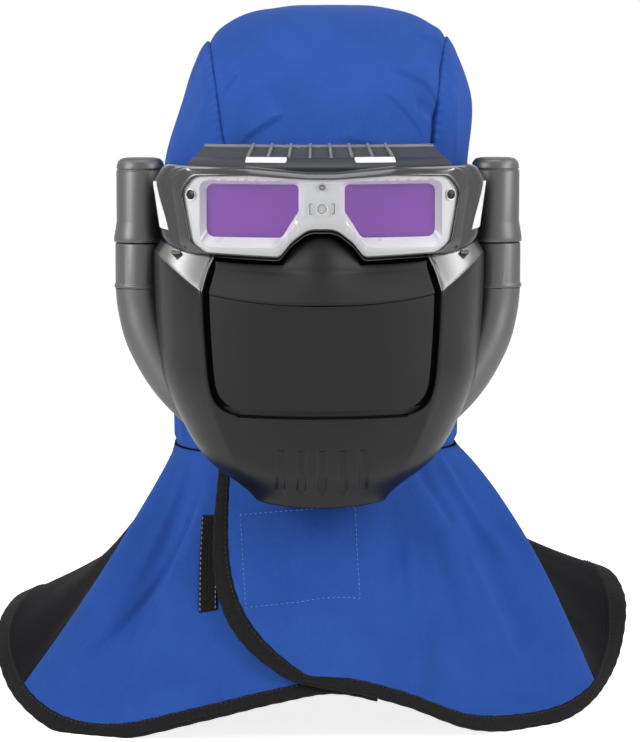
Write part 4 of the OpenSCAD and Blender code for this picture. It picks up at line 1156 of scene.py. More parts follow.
class HEADUNIT_OT_tape(bpy.types.Operator):
    """Binding tape on the bib's edges and the hook strip under the lapped edge"""

    bl_idname = "headunit.tape"
    bl_label = "Binding tape"

    def execute(self, context):
        made = finishes()
        v = np.linspace(0.002, 1 - HEM_V, 120)
        down_out = np.stack([front_edge(v), v], 1)
        down_in = np.stack([front_edge(v) + TAPE_U, v], 1)
        corner_out = [[front_edge(1), 1]]
        corner_in = [[front_edge(1 - HEM_V) + TAPE_U, 1 - HEM_V]]
        hem_out, hem_in = hem_pairs(np.linspace(front_edge(1) + TAPE_U, SIDE_SEAM, 130)[1:])
        outer = smooth_rows(np.concatenate([down_out, corner_out, hem_out]), 10)
        inner = smooth_rows(np.concatenate([down_in, corner_in, hem_in]), 10)
        right = hem_pairs(np.linspace(1 - SIDE_SEAM, 1 + LAP_UNDER, 160))
        back = hem_pairs(np.linspace(SIDE_SEAM, 1 - SIDE_SEAM, 380))
        for name, node_name, pair, lift in (
            ("tape_left", "binding_left", (outer, inner), lapped),
            ("tape_right", "binding_right", right, np.zeros_like),
            ("tape_back", "binding_back", back, np.zeros_like),
        ):
            piece = finish_of(bib_tape(name, *pair, lift), made["tape"])
            settle(piece, "tape", node_name)
            u, v = pair[0].T
            run = run_of(bib_at(u, v, lift(u)))
        k, v = grid(np.linspace(0, 1, 12), np.linspace(HOOK_TOP, HOOK_LOW, 60))
        p = bib_at(hook_place(k, v), v, 1.6 + 0 * k)
        strip = cloth_sheet("hook_tape", p, made["hooks"], made["hooks"], 1.4 * MM, flip=True)
        settle(strip, "tape", "hook_strip")
        sheet_of(p * MM)
        return {"FINISHED"}


class HEADUNIT_OT_straps(bpy.types.Operator):
    """Elastic head strap: two flat bands of webbing from the clips to the buckle"""

    bl_idname = "headunit.straps"
    bl_label = "Head straps"

    def execute(self, context):
        made = finishes()
        end = math.degrees(math.acos((BUCKLE_HALF_W / (HOOD_HALF_W + STRAP_OFF)) ** (HOOD_POWER / 2)))
        a = np.linspace(STRAP_FROM, end - 0.3, 130)
        for side, word in ((1, "left"), (-1, "right")):
            mid = strap_point(a, 0.3 + STRAP_T / 2)
            way = unit(np.gradient(mid, axis=0))
            normal = np.stack([way[:, 1], -way[:, 0], 0 * a], 1)
            centre = np.stack([mid[:, 0], mid[:, 1], STRAP_Z + 0 * a], 1)
            up = np.tile([0.0, 0.0, 1.0], (len(a), 1))
            rings = rounded_section(centre, up, normal, STRAP_W / 2 + 0 * a, STRAP_T / 2 + 0 * a, 24, 0.4)
            rings[..., 0] *= side
            piece = tube_mesh("strap_" + word, rings[:, ::side] * MM, 2 * STRAP_W * MM)
            finish_of(piece, made["webbing"])
            settle(piece, "webbing", "head_strap_" + word)
        return {"FINISHED"}


def swell(piece, cap):
    """Puffs a closed mesh up with a short cloth simulation; no point moves further than cap."""
    pressure, frames = 4.0, 20
    rest = np.array([v.co for v in piece.data.vertices])
    puff = piece.modifiers.new("Puff", "CLOTH")
    puff.settings.use_pressure = True
    puff.settings.uniform_pressure_force = pressure
    puff.settings.effector_weights.gravity = 0
    scene = bpy.context.scene
    for step in range(1, frames + 1):
        scene.frame_set(step)
    shaped = piece.evaluated_get(bpy.context.evaluated_depsgraph_get())
    shift = np.array([v.co for v in shaped.data.vertices]) - rest
    piece.modifiers.remove(puff)
    scene.frame_set(1)
    reach = np.linalg.norm(shift, axis=1, keepdims=True)
    shift *= np.minimum(1, cap / np.maximum(reach, 1e-9))
    for vertex, place in zip(piece.data.vertices, rest + shift):
        vertex.co = place
    piece.data.update()


def copied(name, node_name, shrink=0.0, voxel=0.0):
    """Copy of a solid with its points merged; a voxel size gives it even faces, and shrink moves them in."""
    piece = link(name, bpy.data.meshes.new(name))
    weld(NODES[node_name].data, 0.000005, piece.data)
    if voxel:
        remesh = piece.modifiers.new("Even faces", "REMESH")
        remesh.mode = "VOXEL"
        remesh.voxel_size = voxel
        baked(piece)
    if shrink:
        normals = [v.normal.copy() for v in piece.data.vertices]
        for vertex, normal in zip(piece.data.vertices, normals):
            vertex.co -= normal * shrink
    return piece


# Foam in metres: how far it is moved in before it swells, and the size of its faces
FOAM_IN, FOAM_FACE = 0.0007, 0.0017


class HEADUNIT_OT_seal(bpy.types.Operator):
    """Foam seal round the back of the goggles"""

    bl_idname = "headunit.seal"
    bl_label = "Face seal"

    def execute(self, context):
        piece = copied("face_foam", "face_seal", shrink=FOAM_IN, voxel=FOAM_FACE)
        swell(piece, cap=FOAM_IN)
        shade_smooth(piece.data)
        finish_of(piece, finishes()["foam"])
        settle(soften(piece), "soft_rubber", "face_seal")
        return {"FINISHED"}


def stitch_tree():
    """Node tree that sews a line of stitches along every edge path of a mesh."""
    tree = bpy.data.node_groups.new("Stitches", "GeometryNodeTree")
    face = tree.interface
    face.new_socket("Path", in_out="INPUT", socket_type="NodeSocketGeometry")
    for label in ("Stitch", "Gap", "Thickness"):
        face.new_socket(label, in_out="INPUT", socket_type="NodeSocketFloat")
    face.new_socket("Thread", in_out="INPUT", socket_type="NodeSocketMaterial")
    face.new_socket("Stitches", in_out="OUTPUT", socket_type="NodeSocketGeometry")

    def step(kind, output, inputs=None, **settings):
        return node(tree, kind, inputs, **settings).outputs[output]

    given = node(tree, "NodeGroupInput").outputs
    line = step("GeometryNodeMeshToCurve", "Curve", {"Mesh": given["Path"]})
    pitch = math_node(tree, "ADD", given["Stitch"], given["Gap"])
    spaced = step("GeometryNodeResampleCurve", "Curve", {"Curve": line, "Length": pitch}, mode="LENGTH")
    bead = step("GeometryNodeMeshUVSphere", "Mesh", {"Segments": 8, "Rings": 5, "Radius": 0.5})
    thick = given["Thickness"]
    size = step("ShaderNodeCombineXYZ", 0, {"X": given["Stitch"], "Y": thick, "Z": thick})
    thread = step("GeometryNodeTransform", "Geometry", {"Geometry": bead, "Scale": size})
    along = step("GeometryNodeInputTangent", "Tangent")
    turn = step("FunctionNodeAlignRotationToVector", "Rotation", {"Vector": along}, axis="X")
    inputs = {"Points": spaced, "Instance": thread, "Rotation": turn}
    sewn = step("GeometryNodeInstanceOnPoints", "Instances", inputs)
    whole = step("GeometryNodeRealizeInstances", "Geometry", {"Geometry": sewn})
    smooth = step("GeometryNodeSetShadeSmooth", "Geometry", {"Geometry": whole})
    painted = step("GeometryNodeSetMaterial", "Geometry", {"Geometry": smooth, "Material": given["Thread"]})
    node(tree, "NodeGroupOutput", {"Stitches": painted})
    return tree


def sew(name, paths, thread, stitch, gap, thickness):
    """Plain mesh of stitches along paths, each a row of points in millimetres."""
    places, edges = [], []
    for path in paths:
        first = len(places)
        places += (np.asarray(path) * MM).tolist()
        edges += [(i, i + 1) for i in range(first, len(places) - 1)]
    mesh = bpy.data.meshes.new(name)
    mesh.from_pydata(places, edges, [])
    piece = link(name, mesh)
    tree = bpy.data.node_groups.get("Stitches") or stitch_tree()
    sewing = piece.modifiers.new("Stitches", "NODES")
    sewing.node_group = tree
    ids = {item.name: item.identifier for item in tree.interface.items_tree if item.in_out == "INPUT"}
    for label, value in (("Stitch", stitch), ("Gap", gap), ("Thickness", thickness), ("Thread", thread)):
        sewing[ids[label]] = value
    return baked(piece)


# Stitches on the tape: how far in from its outer edge, in widths, and how proud of the cloth
SEWN_DOWN, SEWN_HEM, SEWN_PROUD = 0.82, 0.84, 0.9
THREAD_T = 0.0007


def hem_stitches(start, stop, count, lift):
    """Line of stitches along the hem, in turns."""
    u = np.linspace(start, stop, count)
    return bib_at(u, 1 - SEWN_HEM * HEM_V + 0 * u, lift(u) + SEWN_PROUD)


class HEADUNIT_OT_stitches(bpy.types.Operator):
    """Stitches along the tape, the hook strip and the stitched patch on the bib"""

    bl_idname = "headunit.stitches"
    bl_label = "Stitches"

    def execute(self, context):
        hood = context.scene.hood_settings
        made = finishes()
        short = 0.003
        v = np.linspace(0.02, 1 - 1.25 * HEM_V, 160)
        front = bib_at(front_edge(v) + SEWN_DOWN * TAPE_U, v, lapped(front_edge(v)) + SEWN_PROUD)
        left = hem_stitches(front_edge(1) + 2 * TAPE_U, SIDE_SEAM - short, 160, lapped)
        right = hem_stitches(1 - SIDE_SEAM + short, 1 - 0.022, 160, np.zeros_like)
        back = hem_stitches(SIDE_SEAM + short, 1 - SIDE_SEAM - short, 300, np.zeros_like)
        rows = np.linspace(HOOK_TOP + 0.01, HOOK_LOW - 0.01, 60)
        hooks = [bib_at(hook_place(at, rows), rows, 1.75 + 0 * rows) for at in (0.07, 0.93)]
        for name, paths, thread, slot in (
            ("patch_stitches", [patch_path()], "thread", "blue_cloth"),
            ("tape_stitches", [front, left, right, back], "black_thread", "tape"),
            ("hook_stitches", hooks, "pale_thread", "tape"),
        ):
            sewn = sew(name, paths, made[thread], hood.stitch, hood.stitch_gap, THREAD_T)
            settle(sewn, slot)
        return {"FINISHED"}


def patch_path():
    """Rectangle of stitches on the lapped front, in places round and down the bib."""
    corners = [
        (-0.0705, 0.254),
        (-0.0152, 0.250),
        (0.0243, 0.232),
        (0.0228, 0.413),
        (0.0220, 0.612),
        (-0.0218, 0.634),
        (-0.0647, 0.623),
        (-0.0678, 0.434),
        (-0.0705, 0.254),
    ]
    places = []
    for (u0, v0), (u1, v1) in zip(corners, corners[1:]):
        t = np.linspace(0, 1, 40, endpoint=False)
        places.append(np.stack([mix(u0, u1, t), mix(v0, v1, t)], 1))
    q = np.concatenate(places + [np.array([corners[0]])])
    return bib_at(q[:, 0], q[:, 1], lapped(q[:, 0]) + 0.15)


# Mask, ducts and goggles


BODY_OF = {name: body for body, names in frame["record"]["behaviour"]["bodies"].items() for name in names}
SLOT_OF = {row["node"]: row["material_slot"] for row in frame["record"]["subparts"]}
FLOOR_OFF = SEAT - PANEL_RECESS
PANEL_LOW = RECESS_BOTTOM - EDGE_T


def rounded_edges(piece, width, angle=35.0):
    """Small round edges, with flat faces kept flat in the light."""
    edge = piece.modifiers.new("Round edges", "BEVEL")
    edge.width = width * MM
    edge.segments = 2
    edge.limit_method = "ANGLE"
    edge.angle_limit = math.radians(angle)
    edge.harden_normals = True
    return piece


def moulding(name, p, outward, wall, finish):
    """A moulded wall from a grid of points in millimetres on its outer face; outward points off it."""
    facing = float((grid_normals(p) * outward).sum(-1).mean())
    piece = grid_mesh(name, p * MM, flip=facing < 0)
    weld(piece.data)
    finish_of(piece, finish)
    thicken(piece, wall * MM)
    return piece


def chin_grooves(x, t):
    """Depth of the chin's grooves, round at their lower ends."""
    half = GROOVE_W / 2
    end = GROOVE_TOP + GROOVE_H / MASK_H
    past = np.clip((t - end) * MASK_H + half, 0, half) / half
    reach = half * np.sqrt(1 - past * past)
    inside = ease((t - GROOVE_TOP) * MASK_H / 2) * (t < end)
    depth = 0
    for i in range(GROOVE_COUNT):
        middle = (i - (GROOVE_COUNT - 1) / 2) * GROOVE_PITCH
        depth = depth + ease((reach - np.abs(x - middle)) / 0.9 + 0.2) * inside
    return GROOVE_DEPTH * depth


def mask_shell(made):
    """Shell with its recess and chin grooves; a row of its points lies along the slope line."""
    columns = both_sides(
        runs((0, 0.69, 70), (RECESS_F, RECESS_F + STEP, 7), (0.722, 0.94, 24), (0.95, 1, 12))
    )
    heights = runs((0, 2 * ROW_T, 41), (0.21, 0.6, 44), (0.606, 0.626, 9), (0.632, 1, 72))
    f, t = grid(columns, heights)
    g = np.abs(f)
    line, row = slope_line(f), t / ROW_T
    top = -CORNER_RISE * ease((g - CORNER_FROM) / CORNER_OVER)
    upper = np.where(row < 1, mix(top, line, row), mix(line, 2 * ROW_T, row - 1))
    t = np.where(row < 2, upper, t)
    sunk = PANEL_RECESS * (1 - ease((g - RECESS_F) / STEP)) * (1 - ease((t - RECESS_BOTTOM) / STEP))
    at = turned(f, t)
    p = mask_at(at, t, -sunk - chin_grooves(at * mask_row(t)[..., 0], t))
    shell = moulding("mask_moulding", p, mask_normal(at, t), MASK_WALL, made["mask"])
    # Floor faces of the recess's side grooves: painted shade, a near-black finish where the groove lies in
    # shadow
    deep = sunk > 0.5 * PANEL_RECESS
    deep = deep[:-1, :-1] & deep[1:, 1:] & (g[:-1, :-1] > EDGE_F - 0.02) & (t[1:, 1:] < PANEL_LOW)
    # Facets under the goggles take a glossier, slightly paler copy of the mask plastic: a painted highlight
    facet = (row[1:, 1:] < 1.001) & (g[:-1, :-1] > FACET_FROM) & (g[1:, 1:] > FACET_FROM)
    finish_of(shell, made["mask"], made["recess"], made["facet"])
    shell.data.polygons.foreach_set("material_index", np.where(facet, 2, deep.astype(np.int32)).ravel())
    return shell


def mask_panel(finish):
    """Panel in the recess, round at its lower corners."""
    k = np.concatenate([1 - np.cos(np.linspace(0, np.pi / 2, 16)), np.linspace(1, 4, 70)[1:]])
    f, k = grid(np.linspace(-EDGE_F, EDGE_F, 121), k)
    turn = PANEL_LOW - TURN_T
    t = np.where(k < 1, PANEL_LOW - TURN_T * k, mix(turn, slope_line(f) + PANEL_OVERLAP, (k - 1) / 3))
    at = turned(f, t + EDGE_T)
    p = mask_at(at, t, FLOOR_OFF + PANEL_T + 0 * t)
    panel = moulding("mask_panel", p, mask_normal(at, t), PANEL_T, finish)
    return rounded_edges(panel, 0.5, angle=50)


def nose_band(finish):
    """Raised band above the panel, whose upper edge arches over the nose."""
    steps = np.concatenate([np.linspace(0, 1, 16), 1 + np.linspace(0, 1, 30)[1:] ** 0.8])
    f, k = grid(np.linspace(-EDGE_F, EDGE_F, 201), steps)
    t = mix(slope_line(f) - PANEL_OVERLAP, BAND_TOP, np.minimum(1, k))
    p = mask_at(f, t, FLOOR_OFF + PANEL_T + BAND_STEP + 0 * t)
    rise = np.maximum(0, k - 1)
    arch = NOSE_H * np.maximum(0, 1 - (p[..., 0] / NOSE_HALF_W) ** 2) ** 0.6
    arch = np.maximum(ARCH_MIN, arch)
    p = p + np.stack([0 * rise, 0.45 * arch * rise**2, arch * rise], axis=-1)
    return moulding("mask_nose_band", p, mask_normal(f, t), PANEL_T + BAND_STEP, finish)


class HEADUNIT_OT_mask(bpy.types.Operator):
    """Half mask: shell with a recess and chin grooves, front panel and nose band"""

    bl_idname = "headunit.mask"
    bl_label = "Half mask"

    def execute(self, context):
        made = finishes()
        settle(mask_shell(made), "mask_plastic", "mask_shell")
        settle(mask_panel(made["panel"]), "mask_plastic", "front_panel")
        settle(nose_band(made["band"]), "mask_plastic", "nose_band")
        return {"FINISHED"}


class HEADUNIT_OT_ducts(bpy.types.Operator):
    """Lower air ducts: bent tubes from the sleeves to the cheeks"""

    bl_idname = "headunit.ducts"
    bl_label = "Lower ducts"

    def execute(self, context):
        t = np.linspace(0, 0.985, 70)
        mid, extra = duct_mid(t)
        way = unit(np.gradient(mid, axis=0))
        way[0] = (0, 0, -1)
        across = unit(np.cross(way, (0.0, 1.0, 0.0)))
        over = np.cross(way, across)
        turn = np.linspace(0, 2 * np.pi, 48, endpoint=False)[None, :, None]
        ring = np.cos(turn) * across[:, None, :] + np.sin(turn) * over[:, None, :]
        radius = SLEEVE_R + extra
        walls = [mid[:, None, :] + ring * (radius - wall)[:, None, None] for wall in (0.0, DUCT_WALL)]
        rings = np.concatenate([walls[0], walls[1][::-1]])
        for side, word in ((1, "left"), (-1, "right")):
            tube = tube_mesh("cheek_duct_" + word, rings * np.array([side, 1, 1]) * MM, 0.1, closed=True)
            finish_of(outside_out(tube), finishes()["duct"])
            settle(tube, "duct_plastic", "lower_duct_" + word)
        return {"FINISHED"}


# Section of the frame from the bezel outwards: which two outlines, the share between them, and the radius
FRAME_SECTION = (
    (0, 0.00, 158.0),
    (0, 0.00, 167.0),
    (0, 0.00, 176.4),
    (0, 0.04, 177.2),
    (0, 0.10, 177.6),
    (0, 0.18, 177.7),
    (0, 0.30, 177.4),
    (0, 0.50, 176.8),
    (0, 0.70, 176.2),
    (0, 0.88, 175.6),
    (0, 0.97, 175.1),
    (1, 0.06, 174.9),
    (1, 0.25, 174.9),
    (1, 0.50, 175.0),
    (1, 0.70, 174.7),
    (1, 0.84, 173.6),
    (1, 0.93, 172.0),
    (1, 0.98, 170.2),
    (1, 1.00, 168.0),
    (1, 1.00, 163.0),
    (1, 0.97, 159.2),
    (1, 0.88, 158.0),
)


def frame_loops():
    """Outlines of the frame's seat, lip and rim."""
    return outline(SEAT), outline(FRAME_RIM - LIP), outline(FRAME_RIM, FRAME_WIDEN)


def frame_rings():
    """Rings of the frame's section all round the bezel."""
    loops = frame_loops()
    columns = [wrapped(mix(loops[pair], loops[pair + 1], share), r) for pair, share, r in FRAME_SECTION]
    return np.stack(columns, axis=1)


def block(low, high):
    """Corners and faces of a box, in millimetres."""
    corners = [(x, y, z) for x in (low[0], high[0]) for y in (low[1], high[1]) for z in (low[2], high[2])]
    return corners, [(0, 1, 3, 2), (4, 6, 7, 5), (0, 4, 5, 1), (2, 3, 7, 6), (0, 2, 6, 4), (1, 5, 7, 3)]


def rod(start, way, r, long):
    """Corners and faces of a round rod, in millimetres."""
    sides = 32
    start, way = np.asarray(start, float), unit(np.asarray(way, float))
    side = unit(np.cross(way, (0.3, 0.5, 0.8)))
    other = np.cross(way, side)
    turn = np.linspace(0, 2 * np.pi, sides, endpoint=False)[:, None]
    ring = r * (np.cos(turn) * side + np.sin(turn) * other)
    corners = np.concatenate([start + ring, start + long * way + ring]).tolist()
    faces = [(i, (i + 1) % sides, sides + (i + 1) % sides, sides + i) for i in range(sides)]
    return corners, faces + [tuple(range(sides))[::-1], tuple(range(sides, 2 * sides))]


def built(name, *parts):
    """One mesh object from several closed parts."""
    corners, faces = [], []
    for places, sides in parts:
        first = len(corners)
        corners += list(places)
        faces += [tuple(first + i for i in face) for face in sides]
    mesh = bpy.data.meshes.new(name)
    mesh.from_pydata((np.asarray(corners) * MM).tolist(), [], faces)
    shade_smooth(mesh, 35)
    return outside_out(link(name, mesh))


def moved(parts, by):
    """Parts moved by a step in millimetres."""
    return [(np.asarray(places) + by, sides) for places, sides in parts]


def hoop(name, middle, axis, r, thick, finish):
    """A round bead on a face."""
    axis = unit(np.asarray(axis, float))
    up = np.array([0.0, 0.0, 1.0])
    side = unit(np.cross(up, axis))
    turn = np.linspace(0, 2 * np.pi, 48, endpoint=False)[:, None]
    spoke = np.cos(turn) * side + np.sin(turn) * up
    bead = np.linspace(0, 2 * np.pi, 12, endpoint=False)[None, :, None]
    round_off = np.cos(bead) * spoke[:, None, :] + np.sin(bead) * axis
    rings = np.asarray(middle) + r * spoke[:, None, :] + thick * round_off
    piece = tube_mesh(name, rings * MM, 0.01, closed=True)
    return finish_of(outside_out(piece), finish)


def on_bezel(x, up, proud):
    """Point in front of the bezel at x and a height, and the way it faces."""
    a = math.asin(x / GOGGLE_R)
    way = np.array([math.sin(a), -math.cos(a), 0.0])
    return np.array([0, GOGGLE_Y, GOGGLE_Z + up]) + (GOGGLE_R + proud) * way, way


def strap_lugs(finish):
    """Lugs at the frame's ends, with the pins that the strap clips tilt on."""
    parts = []
    for side in (1, -1):
        inner, outer = sorted((side * LUG_X, side * (LUG_X + LUG_T)))
        low = (inner, LUG_FRONT, STRAP_Z - LUG_HALF_H)
        high = (outer, PIN_Y + LUG_HALF_H, STRAP_Z + LUG_HALF_H)
        foot = (side * (LUG_X + PIN_SUNK), PIN_Y, STRAP_Z)
        parts += [block(low, high), rod(foot, (-side, 0, 0), PIN_R, PIN_LEN + PIN_SUNK)]
    return rounded_edges(finish_of(built("strap_lugs", *parts), finish), 0.5)


def lamp_marks(finish):
    """Two brackets beside the lamp, each an upright bar with two short ends."""
    bar_x, bar_w, bar_h = 8.0, 0.25, 3.4
    end_x, end_z, end_w, end_h = 7.2, 3.3, 0.9, 0.2
    front, back = -1.75, -1.55
    parts = []
    for x in (-bar_x, bar_x):
        parts.append(block((x - bar_w, front, -bar_h), (x + bar_w, back, bar_h)))
    for x in (-end_x, end_x):
        for z in (-end_z, end_z):
            parts.append(block((x - end_w, front, z - end_h), (x + end_w, back, z + end_h)))
    parts = moved(parts, (0, GOGGLE_Y - GOGGLE_R, GOGGLE_Z + LAMP_UP))
    return finish_of(built("lamp_marks", *parts), finish)


def screw_slots(finish):
    """Cross in the head of the bezel's screw."""
    reach, half_w, front, back = 1.3, 0.22, -0.05, 0.1
    level = block((-reach, front, -half_w), (reach, back, half_w))
    upright = block((-half_w, front, -reach), (half_w, back, reach))
    parts = moved([level, upright], (0, GOGGLE_Y - GOGGLE_R - SCREW_PROUD, GOGGLE_Z + SCREW_UP))
    return finish_of(built("screw_slots", *parts), finish)


class HEADUNIT_OT_goggles(bpy.types.Operator):
    """Goggle frame with its lip, lugs, side plates, bezel and brow band, and the rings on the bezel"""

    bl_idname = "headunit.goggles"
    bl_label = "Goggle frame"

    def execute(self, context):
        made = finishes()
        shell = outside_out(tube_mesh("frame_moulding", frame_rings() * MM, 0.1, closed=True))
        settle(finish_of(shell, made["black_plastic"]), "black_plastic", "goggle_frame")
        settle(strap_lugs(made["black_plastic"]), "black_plastic")
        for side, word in ((1, "left"), (-1, "right")):
            settle(side_plate("side_plate_" + word, side, made["plate"]), "white_pad")
            middle, way = on_bezel(side * SENSOR_X, SENSOR_UP, 1.1)
            ring = hoop("sensor_ring_" + word, middle, way, SENSOR_R + 0.25, 0.22, made["ring"])
            settle(ring, "silver_plastic")
        middle, way = on_bezel(0, LAMP_UP, 1.7)
        settle(hoop("lamp_ring", middle, way, LAMP_R + 0.6, 0.3, made["silver"]), "silver_plastic")
        settle(lamp_marks(made["screw"]), "silver_plastic")
        settle(screw_slots(made["steel"]), "silver_plastic")
        settle(bezel_moulding(made["silver"], made["slope_highlight"]), "silver_plastic", "filter_bezel")
        settle(brow_band(made["brow"]), "black_plastic")
        return {"FINISHED"}


def brow_top(r):
    """Height of the brow vent's upper face at a radius."""
    return BROW_Z + BROW_T + (BROW_R - r) * BROW_SLOPE


def brow_band(finish):
    """Smooth band across the front of the brow vent, over the ribs' lower ends."""
    profile = [(0.1, -0.6), (0.1, 1.2), (-0.8, 1.9), (-8.6, 2.0), (-9.6, 1.5), (-9.8, -0.4)]
    r = np.array([BROW_R + out for out, _ in profile])
    z = np.array([brow_top(a) + up for a, (_, up) in zip(r, profile)])
    turn = np.radians(np.linspace(-BROW_HALF_ANGLE + 0.4, BROW_HALF_ANGLE - 0.4, 90))[:, None]
    rings = np.stack([r * np.sin(turn), GOGGLE_Y - r * np.cos(turn), z + 0 * turn], axis=-1)
    piece = outside_out(tube_mesh("brow_band", rings * MM, 0.05))
    shade_smooth(piece.data, 40)
    return finish_of(rounded_edges(piece, 0.3), finish)


def paint_light_on_vent_ribs(piece, finish):
    """Gives the vent's ribs and beaded rim a paler finish than its floor: painted light on the raised parts.
    """
    piece.data.materials.append(finish)
    for face in piece.data.polygons:
        x, y, z = np.array(face.center) / MM
        face.material_index = int(z > brow_top(math.hypot(x, y - GOGGLE_Y)) + 0.25)


def bezel_moulding(finish, slope_highlight_finish):
    """Bezel whose windows slope in from a wider border, most below and beside; the slopes get a paler,
    glossier finish as a painted highlight.
    """
    x0, x1 = WINDOW_GAP / 2, WINDOW_GAP / 2 + WINDOW_W
    z1, z0 = WINDOW_TOP, WINDOW_TOP - WINDOW_H
    mid, cut_off = (z0 + z1) / 2, 10
    window = rounded_loop([(x0, z1), (x1, z1), (x1, z0), (x0 + cut_off, z0), (x0, mid)], (3, 5, 5, 3, 3))
    inner, outer, high, low = x0 - 4, x1 + 5, z1 + 2.6, z0 - 7.5
    edge = [(inner, high), (outer, high), (outer, low), (x0 + cut_off + 5.5, low), (inner, mid - 3)]
    border = rounded_loop(edge, (5, 5, 7, 6, 6))
    piece = copied("filter_bezel_moulding", "filter_bezel")
    cutters = []
    for side in (1, -1):
        flipped = np.array([side, 1])
        rings = [
            wrapped((window + (window.mean(0) - window) * 0.012) * flipped, GOGGLE_R - 7.0),
            wrapped(border * flipped, GOGGLE_R + 0.02),
            wrapped(border * flipped, GOGGLE_R + 4.0),
        ]
        cutter = outside_out(tube_mesh("window_cutter", np.stack(rings) * MM, 0.1))
        cut = piece.modifiers.new("Window slope", "BOOLEAN")
        cut.operation, cut.solver, cut.object = "DIFFERENCE", "EXACT", cutter
        cutters.append(cutter)
    baked(piece)
    for cutter in cutters:
        bpy.data.objects.remove(cutter)
    shade_smooth(piece.data, 30)
    finish_of(piece, finish, slope_highlight_finish)
    # Faces that slope in round the windows take the paler finish: a painted highlight where they catch the
    # light from above
    for face in piece.data.polygons:
        x, y, _ = np.array(face.center) / MM
        out = Vector((x, y - GOGGLE_Y, 0)).normalized().dot(face.normal)
        face.material_index = int(0.15 < out < 0.93 and math.hypot(x, y - GOGGLE_Y) < GOGGLE_R - 0.3)
    return piece


def side_plate(name, side, finish):
    """Pale plate on the frame's end."""
    end_x, low, high = 90, -15.5, 19.5
    inner, outer = frame_loops()[1:]
    keep = (side * outer[:, 0] > end_x) & (outer[:, 1] > low) & (outer[:, 1] < high)
    inner, outer = inner[keep], outer[keep]
    order = np.argsort(outer[:, 1])
    inner, outer = inner[order], outer[order]
    lip = [row[1:] for row in FRAME_SECTION if row[0] == 1 and 0.25 <= row[1] <= 0.98 and row[2] > 165]
    start = mix(0.50, 0.80, ease((outer[:, 1] - low) / (high - low)))[:, None]
    s = mix(start, 0.975, np.linspace(0, 1, 24))
    r = np.interp(s, *np.transpose(lip))
    p = wrapped(mix(inner[:, None], outer[:, None], s[..., None]), r)
    away = grid_normals(p)
    away = away * np.sign((away * np.array([side * 0.6, -1, 0])).sum(-1, keepdims=True))
    piece = moulding(name, p + 0.5 * away, away, 0.9, finish)
    return rounded_edges(piece, 0.3, angle=50)


# Solids that keep their shape and get round edges: finish and width of the rounding in millimetres
MOULDED = {
    "cover_lens": ("clear", 0.3),
    "cassette_back": ("black_plastic", 0.6),
    "shade_button": ("red_plastic", 0.6),
    "mode_button": ("red_plastic", 0.6),
    "arc_sensor_left": ("sensor", 0.4),
    "arc_sensor_right": ("sensor", 0.4),
    "centre_lamp": ("lamp", 0.7),
    "bezel_screw": ("screw", 0.3),
    "brow_vent": ("vent", 0.35),
    "vent_pad_left": ("white_pad", 0.8),
    "vent_pad_right": ("white_pad", 0.8),
    "strap_clip_left": ("black_plastic", 0.6),
    "strap_clip_right": ("black_plastic", 0.6),
    "strap_buckle": ("black_plastic", 0.6),
    # The mask clips share the facets' finish, with its painted highlight
    "mask_clip_left": ("facet", 0.4),
    "mask_clip_right": ("facet", 0.4),
    "valve_seat": ("mask", 0.4),
    "duct_sleeve_left": ("duct", 0.4),
    "duct_sleeve_right": ("duct", 0.4),
    "air_elbow_left": ("duct", 0.5),
    "air_elbow_right": ("duct", 0.5),
}


def join_flat(work):
    """Joins faces that lie in one plane."""
    bmesh.ops.dissolve_limit(work, angle_limit=math.radians(0.5), verts=work.verts, edges=work.edges)


class HEADUNIT_OT_mouldings(bpy.types.Operator):
    """Rigid solids with smooth faces and round edges"""

    bl_idname = "headunit.mouldings"
    bl_label = "Mouldings"

    def execute(self, context):
        made = finishes()
        for name, (finish, width) in MOULDED.items():
            piece = copied(name + "_moulding", name)
            edit_mesh(piece.data, join_flat)
            shade_smooth(piece.data)
            finish_of(rounded_edges(piece, width), made[finish])
            # Painted light: the vent's ribs and beaded rim are made paler than its floor
            if name == "brow_vent":
                paint_light_on_vent_ribs(piece, made["vent_ribs_painted_light"])
            settle(piece, SLOT_OF[name], name, body=BODY_OF[name])
        return {"FINISHED"}


# Finishes of the solids that stay as they are, and all finishes by name


PAINTED = {
    "filter_glass_left": "purple_glass",
    "filter_glass_right": "purple_glass",
    "lcd_cell_left": "dark_glass",
    "lcd_cell_right": "dark_glass",
    "circuit_board": "board",
    "coin_cell": "steel",
    "valve_flap": "pale_rubber",
    "elbow_seal_left": "pale_rubber",
    "elbow_seal_right": "pale_rubber",
}


